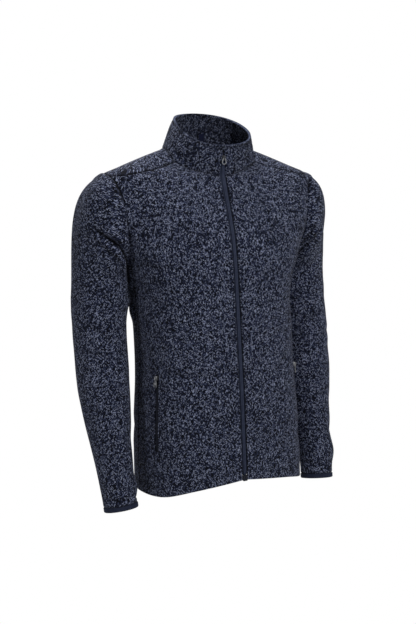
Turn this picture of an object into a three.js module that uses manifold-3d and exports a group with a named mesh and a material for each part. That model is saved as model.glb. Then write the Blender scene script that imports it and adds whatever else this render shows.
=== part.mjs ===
import * as THREE from 'three';
import Module from 'manifold-3d';

// Fleece zip jacket with a stand collar, filled out as if worn, with nobody in it.
// Millimetres, Z up. The front faces -Y and the wearer's right side is at -X.
// The origin is where the shoulders carry the jacket: level with the two points where
// the collar meets the shoulder ridge, on the centre plane.

const wasm = await Module();
wasm.setup();

// Cloth
const CLOTH_WALL = 2.2;
const COLLAR_WALL = 4.4;
const SEAM_GAP = 0.3;
const COLLAR_EDGE_ROUND = 1.2;

// Mesh counts along each panel edge
const COLUMNS_FRONT = 12;
const COLUMNS_BACK_NECK = 8;
const ROWS_SIDE = 19;
const ROWS_ARMHOLE_FRONT = 11;
const ROWS_ARMHOLE_BACK = 13;
const ROWS_NECK_FRONT = 7;
const ROWS_COLLAR = 5;
const ROWS_SLEEVE_HEAD = 10;

// Horizontal sections of the body: half width at the side, depth ahead and behind.
const BODY_SECTIONS = [
  { z: -760, half: 177, front: 141, back: 128 },
  { z: -720, half: 176.5, front: 141.5, back: 128 },
  { z: -674, half: 176, front: 142.5, back: 127.5 },
  { z: -639, half: 175.5, front: 143.5, back: 126 },
  { z: -577, half: 173.5, front: 142.5, back: 123 },
  { z: -494, half: 169, front: 141, back: 119 },
  { z: -426, half: 166, front: 138, back: 119.5 },
  { z: -354, half: 165.5, front: 135, back: 123 },
  { z: -286, half: 170, front: 132, back: 128 },
  { z: -240, half: 184, front: 129.5, back: 130 },
  { z: -195, half: 204, front: 124, back: 129 },
  { z: -149, half: 222, front: 112, back: 124 },
  { z: -103, half: 236, front: 96, back: 112 },
  { z: -80, half: 240, front: 87.5, back: 104 },
  { z: -62, half: 236, front: 80.5, back: 97 },
  { z: -50, half: 223, front: 68, back: 91 },
  { z: -38, half: 194, front: 56, back: 84 },
  { z: -25, half: 162, front: 45, back: 75 },
  { z: -12, half: 128, front: 37, back: 66 },
  { z: 0, half: 95, front: 30, back: 58 },
  { z: 12, half: 70, front: 25, back: 50 },
];
const SQUARENESS = 0.05;

// Lines on the body. Angle is 0 at the centre front, 90 at the side, 180 at the centre back.
const HEM_FRONT_Z = -674;
const HEM_SIDE_Z = -706;
const HEM_BACK_Z = -714;
const ARMPIT_Z = -276;
const SHOULDER_Z = -57;
const NECK_FRONT_Z = -62;
const NECK_BACK_Z = -1;
const HEM_LINE = [
  { angle: 0, z: HEM_FRONT_Z },
  { angle: 30, z: -686 },
  { angle: 60, z: -701 },
  { angle: 90, z: HEM_SIDE_Z },
  { angle: 135, z: -710 },
  { angle: 180, z: HEM_BACK_Z },
];
const NECK_LINE_FRONT = [
  { angle: 0, z: NECK_FRONT_Z },
  { angle: 8, z: -53 },
  { angle: 17, z: -41 },
  { angle: 26, z: -31 },
];
const NECK_LINE_BACK = [
  { angle: 26, z: -31 },
  { angle: 31, z: -22 },
  { angle: 45, z: -10 },
  { angle: 64, z: -3 },
  { angle: 90, z: 0 },
  { angle: 115, z: 1 },
  { angle: 145, z: 0 },
  { angle: 180, z: NECK_BACK_Z },
];
const SHOULDER_SEAM = [
  { angle: 26, z: -31 },
  { angle: 30, z: -40 },
  { angle: 36, z: -48 },
  { angle: 42, z: -53 },
  { angle: 54, z: -57.5 },
  { angle: 68, z: -58 },
];
const SIDE_SEAM = [
  { angle: 90, z: HEM_SIDE_Z },
  { angle: 90, z: ARMPIT_Z },
];
const ARMHOLE_FRONT = [
  { angle: 90, z: ARMPIT_Z },
  { angle: 79, z: -230 },
  { angle: 60, z: -154 },
  { angle: 55.5, z: -114 },
  { angle: 56, z: -90 },
  { angle: 60, z: -70 },
  { angle: 68, z: -58 },
];
const ARMHOLE_BACK = [
  { angle: 90, z: ARMPIT_Z },
  { angle: 102, z: -225 },
  { angle: 117, z: -150 },
  { angle: 118, z: -100 },
  { angle: 108, z: -68 },
  { angle: 90, z: -50 },
  { angle: 68, z: -58 },
];

// Sleeve rings from the upper arm to the cuff: centre, half width across, half depth.
const SLEEVE_RINGS = [
  { x: 232.5, y: 39, z: -306, across: 59.8, deep: 62.3 },
  { x: 235, y: 39, z: -330, across: 57.8, deep: 60.3 },
  { x: 237.5, y: 34, z: -360, across: 55.3, deep: 58.3 },
  { x: 238.5, y: 29, z: -400, across: 54.8, deep: 56.8 },
  { x: 238.5, y: 25, z: -440, across: 54.8, deep: 56.8 },
  { x: 238.5, y: 20, z: -480, across: 53.8, deep: 55.3 },
  { x: 237.5, y: 13, z: -520, across: 50.8, deep: 51.8 },
  { x: 236.5, y: 5, z: -560, across: 46.8, deep: 48.3 },
  { x: 235.5, y: -5, z: -600, across: 41.8, deep: 42.8 },
  { x: 234, y: -16, z: -640, across: 38.3, deep: 39.3 },
  { x: 232.5, y: -26, z: -680, across: 35.8, deep: 36.8 },
  { x: 230, y: -33.5, z: -719, across: 34.3, deep: 35.3 },
];
const SLEEVE_FRONT_SEAM_ANGLE = 28;
const SLEEVE_UNDER_ANGLE = 180;

// How the sleeve head leaves the armhole, at the armpit and at the shoulder
const LEAVING_ARMPIT = { out: 0.3, down: 0.95 };
const LEAVING_SHOULDER = { out: 0.93, down: 0.36 };
const LEAVING_SPREAD = { ends: 0.2, middle: 0.45, reach: 75 };
const SLEEVE_HEAD_PULL = { armhole: 0.3, ring: 0.42 };
const SLEEVE_FOLD_EASE_ROWS = 3;

// Where the sleeve leaves the body sharply, each wall keeps its own direction
const MITRE_SHARP = { from: 0.05, over: 0.5 };
const MITRE_LONGEST = 0.6;

// Cuff binding: distance beyond the sleeve's end, growth of the ring, and wall
const CUFF_BINDING = [
  { along: SEAM_GAP, grow: 0.4, wall: 3 },
  { along: 1.6, grow: 0.9, wall: 3.5 },
  { along: 7.9, grow: 0.7, wall: 3.5 },
  { along: 9.5, grow: -0.3, wall: 1.8 },
];

// Collar top edge: a tilted loop, low in front.
const COLLAR_TOP = { frontY: -91.5, frontZ: -0.4, backY: 48.5, backZ: 79.5, half: 78.5, squareness: 0.02 };
const COLLAR_BOW = 3.2;
const NECK_AXIS_Y = -20;

// Largest folds, as soft troughs or ridges along a line on the right half, mirrored.
const BODY_FOLDS = [
  { x1: -196, y1: -62, z1: -205, x2: -120, y2: -118, z2: -150, width: 26, height: -3 },
  { x1: -172, y1: -30, z1: -280, x2: -140, y2: -100, z2: -330, width: 30, height: -3.5 },
  { x1: -60, y1: -75, z1: -60, x2: -105, y2: -85, z2: -110, width: 24, height: -2.5 },
  { x1: -168, y1: 20, z1: -420, x2: -130, y2: -95, z2: -470, width: 34, height: -2.5 },
  { x1: -120, y1: 95, z1: -160, x2: -165, y2: 60, z2: -300, width: 32, height: -4 },
  { x1: -60, y1: 118, z1: -430, x2: -150, y2: 70, z2: -480, width: 36, height: -3 },
  { x1: -70, y1: 125, z1: -640, x2: -60, y2: 122, z2: -540, width: 34, height: 3 },
];
const SLEEVE_FOLDS = [
  { x1: -268, y1: -12, z1: -168, x2: -190, y2: -26, z2: -262, width: 17, height: -8 },
  { x1: -262, y1: -10, z1: -205, x2: -205, y2: -22, z2: -275, width: 15, height: -5 },
  { x1: -262, y1: 80, z1: -170, x2: -196, y2: 70, z2: -262, width: 20, height: -7 },
  { x1: -275, y1: 0, z1: -440, x2: -205, y2: -12, z2: -470, width: 20, height: -3.5 },
  { x1: -270, y1: 60, z1: -380, x2: -205, y2: 70, z2: -430, width: 24, height: 3 },
  { x1: -270, y1: -12, z1: -560, x2: -205, y2: -25, z2: -585, width: 18, height: -3.5 },
  { x1: -262, y1: -40, z1: -630, x2: -205, y2: -45, z2: -650, width: 15, height: -3 },
];

// Front zip
const ZIP_TOP_Z = -31;
const TAPE_END_Z = -664;
const TAPE_ROWS = 22;
const TAPE_TOP_ROWS = [-47, -39, ZIP_TOP_Z];
const TAPE_SUNK = 0.8;
const TAPE_WALL = 1.6;
const TAPE_CLEAR = 0.5;
const TAPE_MIDDLE_X = 0.15;
const COIL_SHARE = 0.35;
const COIL_RIDGE = 0.35;
const TAPE_SHARE = 0.7;
const ZIP_OPENING = [
  { z: -720, half: 6.1 },
  { z: -140, half: 6.1 },
  { z: -100, half: 6.6 },
  { z: -66, half: 7.4 },
  { z: -42, half: 6 },
  { z: -27, half: 2.6 },
  { z: -15, half: 1.1 },
  { z: 20, half: 0.9 },
];
const ZIP_BOX = { width: 9.5, height: 12, depth: 4.2, behind: 0.6 };

// Pocket zips, placed on the front panel by its rows and columns
const POCKET = { column: 8.5, halfWidth: 0.17, bottomRow: 3.73, topRow: 10.2 };
const POCKET_TAPE_OFF = 0.35;
const POCKET_TAPE_WALL = 1.2;
const POCKET_COIL_RIDGE = 0.3;
const POCKET_TAPE_COLUMNS = [-1, -0.25, 0.25, 1];
const POCKET_SLIDER_ROW = POCKET.topRow - 0.3;

// Patch inside the collar, by the collar's rows and by columns from its middle
const PATCH_ROWS = [1.35, 2, 2.3];
const PATCH_COLUMNS = [0.45, 1.02];
const PATCH_WALL = 0.9;
const PATCH_OFF = 0.35;

// Sliders and their pull tabs
const SLIDER = { long: 10, wide: 7.6, neck: 5.4, plate: 2.2, seat: 0.35, belowTop: 1 };
const SLIDER_WAIST = 0.2;
const SLIDER_SHOULDER = 0.5;
const BRIDGE = { wide: 2.2, high: 3.3, half: 3.6, curve: 3.2, flat: 1.8, sunk: 0.4, straight: 0.55 };
const BRIDGE_SLOT = { half: 2.5, high: 0.67 };
const PULL = { thick: 1.2, clear: 0.5, neck: 5.6, bar: 1.3, windowHalf: 1.5 };
const PULL_SHOULDER = { start: 0.7, end: 2 };
const FRONT_PULL = { long: 12.5, wide: 9.6, hole: 3.3, neckEnd: 0.5, loop: true };
const POCKET_PULL = { long: 19, wide: 9.5, hole: 1.8, neckEnd: 5.2, loop: false };

// Counts and limits for fitting lines to the body and for joining solids
const SLOPE_STEP = 0.5;
const FIT = { steps: 16, damping: 0.02, angle: 8, height: 14, lowest: -750, highest: 10 };
const LINE_STEPS = 240;
const EDGE_STEPS = 200;
const SETTLE_PASSES = 12;
const SHARPEST_CORNER = 0.35;
const FOLD_FADE = { least: 0.35, start: 0.12, span: 0.76 };
const SAME_POINT = 1e-3;
const MERGE_PER_MM = 1e4;
const CURVE_STEPS = { slider: 5, bridge: 4, pull: 9 };

const COLOURS = {
  fleece: 0x30364a,
  binding: 0x1c2234,
  tape: 0x1b2030,
  metal: 0x6a6c70,
  patch: 0x141a3a,
};

function lerp(a, b, t) {
  return a + (b - a) * t;
}

function smooth(t) {
  const c = Math.min(1, Math.max(0, t));
  return c * c * (3 - 2 * c);
}

// Smooth curve through a table column, with slopes that never overshoot.
function readTable(rows, key, column, at) {
  const last = rows.length - 1;
  if (at <= rows[0][key]) return rows[0][column];
  if (at >= rows[last][key]) return rows[last][column];
  let i = 0;
  while (rows[i + 1][key] < at) i += 1;
  const slope = (n) => (rows[n + 1][column] - rows[n][column]) / (rows[n + 1][key] - rows[n][key]);
  const tangent = (n) => {
    if (n === 0) return slope(0);
    if (n === last) return slope(last - 1);
    const before = slope(n - 1);
    const after = slope(n);
    if (before * after <= 0) return 0;
    return (2 * before * after) / (before + after);
  };
  const span = rows[i + 1][key] - rows[i][key];
  const t = (at - rows[i][key]) / span;
  const a = rows[i][column];
  const b = rows[i + 1][column];
  const h1 = t * t * (3 - 2 * t);
  const h2 = t * (1 - t) * (1 - t) * span;
  const h3 = t * t * (t - 1) * span;
  return a + (b - a) * h1 + tangent(i) * h2 + tangent(i + 1) * h3;
}

// Body surface on the wearer's right half
function bodyPoint(angle, z) {
  const a = THREE.MathUtils.degToRad(angle);
  const half = readTable(BODY_SECTIONS, 'z', 'half', z);
  const depth = Math.cos(a) >= 0
    ? readTable(BODY_SECTIONS, 'z', 'front', z)
    : readTable(BODY_SECTIONS, 'z', 'back', z);
  const across = (Math.sin(a) + SQUARENESS * Math.sin(3 * a)) / (1 - SQUARENESS);
  const along = (Math.cos(a) - SQUARENESS * Math.cos(3 * a)) / (1 - SQUARENESS);
  return new THREE.Vector3(-half * across, -depth * along, z);
}

function bodySlopes(angle, z) {
  const da = bodyPoint(angle + SLOPE_STEP, z).sub(bodyPoint(angle - SLOPE_STEP, z));
  const dz = bodyPoint(angle, z + SLOPE_STEP).sub(bodyPoint(angle, z - SLOPE_STEP));
  return { da, dz };
}

function bodyNormal(angle, z) {
  const { da, dz } = bodySlopes(angle, z);
  return dz.cross(da).normalize();
}

// Nearest place on the body surface to a point, starting from a guess.
function nearestOnBody(target, guess) {
  let { angle, z } = guess;
  for (let step = 0; step < FIT.steps; step += 1) {
    const miss = target.clone().sub(bodyPoint(angle, z));
    const { da, dz } = bodySlopes(angle, z);
    const aa = da.dot(da) + FIT.damping;
    const zz = dz.dot(dz) + FIT.damping;
    const az = da.dot(dz);
    const ra = miss.dot(da);
    const rz = miss.dot(dz);
    const det = aa * zz - az * az;
    const moveAngle = (ra * zz - rz * az) / det;
    const moveZ = (rz * aa - ra * az) / det;
    angle += THREE.MathUtils.clamp(moveAngle, -FIT.angle, FIT.angle);
    z += THREE.MathUtils.clamp(moveZ, -FIT.height, FIT.height);
    z = THREE.MathUtils.clamp(z, FIT.lowest, FIT.highest);
  }
  return { angle, z };
}

// Height of the folds at a point
function foldHeight(point, folds) {
  let height = 0;
  for (const fold of folds) {
    const start = new THREE.Vector3(fold.x1, fold.y1, fold.z1);
    const run = new THREE.Vector3(fold.x2, fold.y2, fold.z2).sub(start);
    const away = point.clone().sub(start);
    const t = THREE.MathUtils.clamp(away.dot(run) / run.dot(run), 0, 1);
    const distance = away.sub(run.multiplyScalar(t)).length();
    const swell = Math.sin(Math.PI * (FOLD_FADE.start + FOLD_FADE.span * t));
    const fade = lerp(FOLD_FADE.least, 1, swell);
    height += fold.height * fade * Math.exp(-((distance / fold.width) ** 2));
  }
  return height;
}

// Evenly spaced places along a line of the body given by a table of angle and height.
function spacedLine(rows, count) {
  const fine = [];
  const marks = rows.map((row, n) => ({ n, angle: row.angle, z: row.z }));
  for (let k = 0; k <= LINE_STEPS; k += 1) {
    const at = (k / LINE_STEPS) * (rows.length - 1);
    fine.push({ angle: readTable(marks, 'n', 'angle', at), z: readTable(marks, 'n', 'z', at) });
  }
  return respace(fine, count);
}

function respace(fine, count) {
  const points = fine.map((f) => bodyPoint(f.angle, f.z));
  const length = [0];
  for (let k = 1; k < fine.length; k += 1) length.push(length[k - 1] + points[k].distanceTo(points[k - 1]));
  const total = length[length.length - 1];
  const places = [];
  let k = 0;
  for (let n = 0; n <= count; n += 1) {
    const want = (total * n) / count;
    while (k < fine.length - 2 && length[k + 1] < want) k += 1;
    const t = (want - length[k]) / (length[k + 1] - length[k]);
    places.push({ angle: lerp(fine[k].angle, fine[k + 1].angle, t), z: lerp(fine[k].z, fine[k + 1].z, t) });
  }
  return places;
}

function frontEdge(fromZ, toZ, count) {
  const fine = [];
  for (let k = 0; k <= EDGE_STEPS; k += 1) {
    const z = lerp(fromZ, toZ, k / EDGE_STEPS);
    const half = readTable(ZIP_OPENING, 'z', 'half', z);
    const target = bodyPoint(0, z).setX(-half);
    fine.push(nearestOnBody(target, { angle: 2, z }));
  }
  return respace(fine, count);
}

function backEdge(fromZ, toZ, count) {
  const fine = [];
  for (let k = 0; k <= EDGE_STEPS; k += 1) fine.push({ angle: 180, z: lerp(fromZ, toZ, k / EDGE_STEPS) });
  return respace(fine, count);
}

function joinLines(first, second) {
  return first.concat(second.slice(1));
}

// Fill a four sided panel between its edge lines, then settle it on the body surface.
function fillPanel(bottom, top, left, right) {
  const rows = left.length - 1;
  const columns = bottom.length - 1;
  const at = (place) => bodyPoint(place.angle, place.z);
  const grid = [];
  for (let i = 0; i <= rows; i += 1) {
    const line = [];
    for (let j = 0; j <= columns; j += 1) {
      const s = j / columns;
      const t = i / rows;
      if (j === 0) line.push({ ...left[i] });
      else if (j === columns) line.push({ ...right[i] });
      else if (i === 0) line.push({ ...bottom[j] });
      else if (i === rows) line.push({ ...top[j] });
      else {
        const p = at(bottom[j]).multiplyScalar(1 - t).addScaledVector(at(top[j]), t);
        p.addScaledVector(at(left[i]), 1 - s).addScaledVector(at(right[i]), s);
        p.addScaledVector(at(left[0]), -(1 - s) * (1 - t)).addScaledVector(at(left[rows]), -(1 - s) * t);
        p.addScaledVector(at(right[0]), -s * (1 - t)).addScaledVector(at(right[rows]), -s * t);
        const below = grid[i - 1][j];
        line.push(nearestOnBody(p, below));
      }
    }
    grid.push(line);
  }
  for (let pass = 0; pass < SETTLE_PASSES; pass += 1) settlePanel(grid, at);
  return grid;
}

function settlePanel(grid, at) {
  const rows = grid.length - 1;
  const columns = grid[0].length - 1;
  for (let i = 1; i < rows; i += 1) {
    for (let j = 1; j < columns; j += 1) {
      const middle = at(grid[i - 1][j]).add(at(grid[i + 1][j]));
      middle.add(at(grid[i][j - 1])).add(at(grid[i][j + 1])).multiplyScalar(0.25);
      grid[i][j] = nearestOnBody(middle, grid[i][j]);
    }
  }
}

// Turn places into points with folds and wall directions.
function panelPoints(grid) {
  return grid.map((line) => line.map((place) => {
    const normal = bodyNormal(place.angle, place.z);
    const point = bodyPoint(place.angle, place.z);
    point.addScaledVector(normal, foldHeight(point, BODY_FOLDS));
    return { point, wallDirection: normal.clone(), wall: CLOTH_WALL };
  }));
}

// Pull the edges of a panel back by half a seam gap. Edges is a list of the sides to pull.
function pullBackEdges(grid, edges, amount) {
  const rows = grid.length - 1;
  const columns = grid[0].length - 1;
  const original = grid.map((line) => line.map((v) => v.point.clone()));
  const inward = (i, j, alongRow) => {
    const tangent = alongRow
      ? original[i][Math.min(columns, j + 1)].clone().sub(original[i][Math.max(0, j - 1)])
      : original[Math.min(rows, i + 1)][j].clone().sub(original[Math.max(0, i - 1)][j]);
    const across = grid[i][j].wallDirection.clone().cross(tangent).normalize();
    const towards = alongRow
      ? original[i === 0 ? 1 : rows - 1][j].clone().sub(original[i][j])
      : original[i][j === 0 ? 1 : columns - 1].clone().sub(original[i][j]);
    return across.dot(towards) < 0 ? across.negate() : across;
  };
  for (let i = 0; i <= rows; i += 1) {
    for (let j = 0; j <= columns; j += 1) {
      const moves = [];
      if (i === 0 && edges.includes('bottom')) moves.push(inward(i, j, true));
      if (i === rows && edges.includes('top')) moves.push(inward(i, j, true));
      if (j === 0 && edges.includes('left')) moves.push(inward(i, j, false));
      if (j === columns && edges.includes('right')) moves.push(inward(i, j, false));
      if (moves.length === 1) grid[i][j].point.addScaledVector(moves[0], amount);
      if (moves.length === 2) {
        const share = amount / Math.max(SHARPEST_CORNER, 1 + moves[0].dot(moves[1]));
        grid[i][j].point.addScaledVector(moves[0], share).addScaledVector(moves[1], share);
      }
    }
  }
}

function mirrorGrid(grid) {
  const flip = (v) => new THREE.Vector3(-v.x, v.y, v.z);
  return grid.map((line) => line.map((v) => ({
    point: flip(v.point),
    wallDirection: flip(v.wallDirection),
    wall: v.wall,
  })));
}

// Close a grid of points into a solid wall. The tube joins its last column to its first.
function wallGeometry(grid, tube) {
  const rows = grid.length;
  const columns = grid[0].length;
  const positions = [];
  const index = [];
  const outer = (i, j) => (i * columns + (j % columns)) * 2;
  const inner = (i, j) => outer(i, j) + 1;
  for (const line of grid) {
    for (const v of line) {
      positions.push(v.point.x, v.point.y, v.point.z);
      const in3 = v.point.clone().addScaledVector(v.wallDirection, -v.wall);
      positions.push(in3.x, in3.y, in3.z);
    }
  }
  const quad = (a, b, c, d, shortFirst) => {
    if (shortFirst) index.push(a, b, c, a, c, d);
    else index.push(a, b, d, b, c, d);
  };
  const lastColumn = tube ? columns : columns - 1;
  for (let i = 0; i < rows - 1; i += 1) {
    for (let j = 0; j < lastColumn; j += 1) {
      const next = (j + 1) % columns;
      const p = [grid[i][j], grid[i][next], grid[i + 1][next], grid[i + 1][j]].map((v) => v.point);
      const shortFirst = p[0].distanceTo(p[2]) < p[1].distanceTo(p[3]);
      quad(outer(i, j), outer(i, j + 1), outer(i + 1, j + 1), outer(i + 1, j), shortFirst);
      quad(inner(i, j), inner(i + 1, j), inner(i + 1, j + 1), inner(i, j + 1), shortFirst);
    }
  }
  for (let j = 0; j < lastColumn; j += 1) {
    quad(outer(0, j), inner(0, j), inner(0, j + 1), outer(0, j + 1), true);
    quad(outer(rows - 1, j), outer(rows - 1, j + 1), inner(rows - 1, j + 1), inner(rows - 1, j), true);
  }
  if (!tube) {
    for (let i = 0; i < rows - 1; i += 1) {
      quad(outer(i, 0), outer(i + 1, 0), inner(i + 1, 0), inner(i, 0), true);
      const e = columns - 1;
      quad(outer(i, e), inner(i, e), inner(i + 1, e), outer(i + 1, e), true);
    }
  }
  return faceOutward(positions, index);
}

function faceOutward(positions, index) {
  let volume = 0;
  const a = new THREE.Vector3();
  const b = new THREE.Vector3();
  const c = new THREE.Vector3();
  for (let k = 0; k < index.length; k += 3) {
    a.fromArray(positions, index[k] * 3);
    b.fromArray(positions, index[k + 1] * 3);
    c.fromArray(positions, index[k + 2] * 3);
    volume += a.dot(b.cross(c));
  }
  if (volume < 0) {
    for (let k = 0; k < index.length; k += 3) [index[k + 1], index[k + 2]] = [index[k + 2], index[k + 1]];
  }
  const geometry = new THREE.BufferGeometry();
  geometry.setAttribute('position', new THREE.Float32BufferAttribute(positions, 3));
  geometry.setIndex(index);
  geometry.computeVertexNormals();
  return geometry;
}

// Front panel, wearer's right. Columns run from the zip edge to the side.
function frontGrid() {
  const side = spacedLine(SIDE_SEAM, ROWS_SIDE);
  const armhole = spacedLine(ARMHOLE_FRONT, ROWS_ARMHOLE_FRONT);
  const right = joinLines(side, armhole);
  const rowsZip = right.length - 1 - ROWS_NECK_FRONT;
  const zipEdge = frontEdge(HEM_FRONT_Z, NECK_FRONT_Z, rowsZip);
  const neckRows = NECK_LINE_FRONT.map((row, n) => (n === 0 ? { ...zipEdge[rowsZip] } : row));
  const neck = spacedLine(neckRows, ROWS_NECK_FRONT);
  const left = joinLines(zipEdge, neck);
  const hemRows = HEM_LINE.slice(0, 4).map((row, n) => (n === 0 ? { ...zipEdge[0] } : row));
  const bottom = spacedLine(hemRows, COLUMNS_FRONT);
  const top = spacedLine(SHOULDER_SEAM, COLUMNS_FRONT);
  return fillPanel(bottom, top, left, right);
}

// Right half of the back panel. Columns run from the side to the centre back.
function backHalfGrid() {
  const side = spacedLine(SIDE_SEAM, ROWS_SIDE);
  const armhole = spacedLine(ARMHOLE_BACK, ROWS_ARMHOLE_BACK);
  const left = joinLines(side, armhole);
  const right = backEdge(HEM_BACK_Z, NECK_BACK_Z, left.length - 1);
  const columns = COLUMNS_FRONT + COLUMNS_BACK_NECK;
  const bottom = spacedLine(HEM_LINE.slice(3), columns);
  const seam = spacedLine(SHOULDER_SEAM, COLUMNS_FRONT).reverse();
  const neck = spacedLine(NECK_LINE_BACK, COLUMNS_BACK_NECK);
  return fillPanel(bottom, joinLines(seam, neck), left, right);
}

function wholeBack(half) {
  const mirrored = mirrorGrid(half);
  return half.map((line, i) => line.concat(mirrored[i].slice(0, -1).reverse()));
}

// Directions round a sleeve ring: outward from the body and towards the front
function ringFrame(k) {
  const at = (n) => {
    const ring = SLEEVE_RINGS[THREE.MathUtils.clamp(n, 0, SLEEVE_RINGS.length - 1)];
    return new THREE.Vector3(-ring.x, ring.y, ring.z);
  };
  const down = at(k + 1).sub(at(k - 1)).normalize();
  const outward = new THREE.Vector3(-1, 0, 0);
  outward.addScaledVector(down, -outward.dot(down)).normalize();
  const forward = new THREE.Vector3(0, -1, 0);
  forward.addScaledVector(down, -forward.dot(down));
  forward.addScaledVector(outward, -forward.dot(outward)).normalize();
  return { centre: at(k), down, outward, forward };
}

function ringPoint(frame, across, deep, angle) {
  const a = THREE.MathUtils.degToRad(angle);
  return frame.centre.clone()
    .addScaledVector(frame.outward, across * Math.cos(a))
    .addScaledVector(frame.forward, deep * Math.sin(a));
}

// Angle round the sleeve of each armhole vertex, first down the front, then up the back
function sleeveAngles() {
  const angles = [];
  for (let n = 0; n < ROWS_ARMHOLE_FRONT; n += 1) {
    angles.push(lerp(SLEEVE_FRONT_SEAM_ANGLE, SLEEVE_UNDER_ANGLE, n / ROWS_ARMHOLE_FRONT));
  }
  for (let n = 0; n < ROWS_ARMHOLE_BACK; n += 1) {
    const end = SLEEVE_FRONT_SEAM_ANGLE + 360;
    angles.push(lerp(SLEEVE_UNDER_ANGLE, end, n / ROWS_ARMHOLE_BACK));
  }
  return angles;
}

function armholeLoop(front, back) {
  const loop = [];
  const top = front.length - 1;
  const edge = front[0].length - 1;
  for (let n = 0; n < ROWS_ARMHOLE_FRONT; n += 1) loop.push(front[top - n][edge]);
  for (let n = 0; n < ROWS_ARMHOLE_BACK; n += 1) loop.push(back[ROWS_SIDE + n][0]);
  return loop;
}

// How a sleeve column leaves the armhole: outward at the shoulder, downward at the armpit
function leavingDirection(point) {
  const height = smooth((point.z - ARMPIT_Z) / (SHOULDER_Z - ARMPIT_Z));
  const out = lerp(LEAVING_ARMPIT.out, LEAVING_SHOULDER.out, height);
  const down = lerp(LEAVING_ARMPIT.down, LEAVING_SHOULDER.down, height);
  const spread = lerp(LEAVING_SPREAD.ends, LEAVING_SPREAD.middle, height * (1 - height) * 4);
  return new THREE.Vector3(-out, (point.y * spread) / LEAVING_SPREAD.reach, -down).normalize();
}

function sleeveGrid(front, back) {
  const loop = armholeLoop(front, back);
  const angles = sleeveAngles();
  const frames = SLEEVE_RINGS.map((ring, k) => ringFrame(k));
  const lines = [];
  for (let k = 0; k <= ROWS_SLEEVE_HEAD; k += 1) {
    const t = k / ROWS_SLEEVE_HEAD;
    lines.push(loop.map((v, n) => {
      const start = v.point.clone();
      const end = ringPoint(frames[0], SLEEVE_RINGS[0].across, SLEEVE_RINGS[0].deep, angles[n]);
      const span = start.distanceTo(end);
      const first = start.clone().addScaledVector(leavingDirection(start), span * SLEEVE_HEAD_PULL.armhole);
      const last = end.clone().addScaledVector(frames[0].down, -span * SLEEVE_HEAD_PULL.ring);
      const curve = new THREE.CubicBezierCurve3(start, first, last, end);
      return curve.getPoint(t);
    }));
  }
  for (let k = 1; k < SLEEVE_RINGS.length; k += 1) {
    const ring = SLEEVE_RINGS[k];
    lines.push(angles.map((angle) => ringPoint(frames[k], ring.across, ring.deep, angle)));
  }
  const directions = tubeNormals(lines);
  lines.forEach((line, i) => {
    if (i === 0) return;
    const ease = smooth(i / SLEEVE_FOLD_EASE_ROWS);
    line.forEach((point, j) => {
      point.addScaledVector(directions[i][j], ease * foldHeight(point, SLEEVE_FOLDS));
    });
  });
  return lines.map((line, i) => line.map((point, j) => ({
    point,
    wallDirection: directions[i][j],
    wall: CLOTH_WALL,
  })));
}

function tubeNormals(lines) {
  const rows = lines.length - 1;
  const columns = lines[0].length;
  return lines.map((line, i) => line.map((point, j) => {
    const along = lines[Math.min(rows, i + 1)][j].clone().sub(lines[Math.max(0, i - 1)][j]);
    const around = line[(j + 1) % columns].clone().sub(line[(j + columns - 1) % columns]);
    return along.cross(around).normalize();
  }));
}

// At the top of the armhole both walls share one mitred direction. At the armpit each
// wall keeps its own, because the sleeve folds back against the body there.
function mitreArmhole(front, back, sleeve) {
  const top = front.length - 1;
  const edge = front[0].length - 1;
  const total = sleeve[0].length;
  for (let n = 0; n < total; n += 1) {
    const cell = sleeve[0][n];
    const partners = [];
    if (n <= ROWS_ARMHOLE_FRONT) partners.push(front[top - n][edge]);
    if (n >= ROWS_ARMHOLE_FRONT) partners.push(back[ROWS_SIDE + n - ROWS_ARMHOLE_FRONT][0]);
    if (n === 0) partners.push(back[back.length - 1][0]);
    const bodySide = partners[0].wallDirection;
    const leaving = sleeve[1][n].point.clone().sub(cell.point).normalize();
    const hollow = leaving.dot(bodySide);
    const own = smooth((hollow - MITRE_SHARP.from) / MITRE_SHARP.over);
    const shared = bodySide.clone().add(cell.wallDirection).normalize();
    const stretch = 1 / Math.max(MITRE_LONGEST, shared.dot(bodySide));
    const apply = (v) => {
      const direction = shared.clone().lerp(v.wallDirection, own).normalize();
      v.wallDirection = direction;
      v.wall *= lerp(stretch, 1, own);
    };
    partners.forEach(apply);
    apply(cell);
  }
}

// Move the first ring of a tube along the sleeve by half a seam gap.
function pullBackRing(grid, row, towardsRow, amount) {
  const moved = grid[row].map((v, j) => {
    const columns = grid[row].length;
    const around = grid[row][(j + 1) % columns].point.clone();
    around.sub(grid[row][(j + columns - 1) % columns].point);
    const across = v.wallDirection.clone().cross(around).normalize();
    const towards = grid[towardsRow][j].point.clone().sub(v.point);
    if (across.dot(towards) < 0) across.negate();
    return v.point.clone().addScaledVector(across, amount);
  });
  grid[row].forEach((v, j) => v.point.copy(moved[j]));
}

// Cuff binding: a short ring that carries on from the end of the sleeve
function cuffBindingGrid() {
  const last = SLEEVE_RINGS.length - 1;
  const ring = SLEEVE_RINGS[last];
  const frame = ringFrame(last);
  return CUFF_BINDING.map((step) => sleeveAngles().map((angle) => {
    const a = THREE.MathUtils.degToRad(angle);
    const point = ringPoint(frame, ring.across + step.grow, ring.deep + step.grow, angle);
    point.addScaledVector(frame.down, step.along);
    const wallDirection = frame.outward.clone().multiplyScalar(Math.cos(a));
    wallDirection.addScaledVector(frame.forward, Math.sin(a)).normalize();
    return { point, wallDirection, wall: step.wall };
  }));
}

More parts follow.
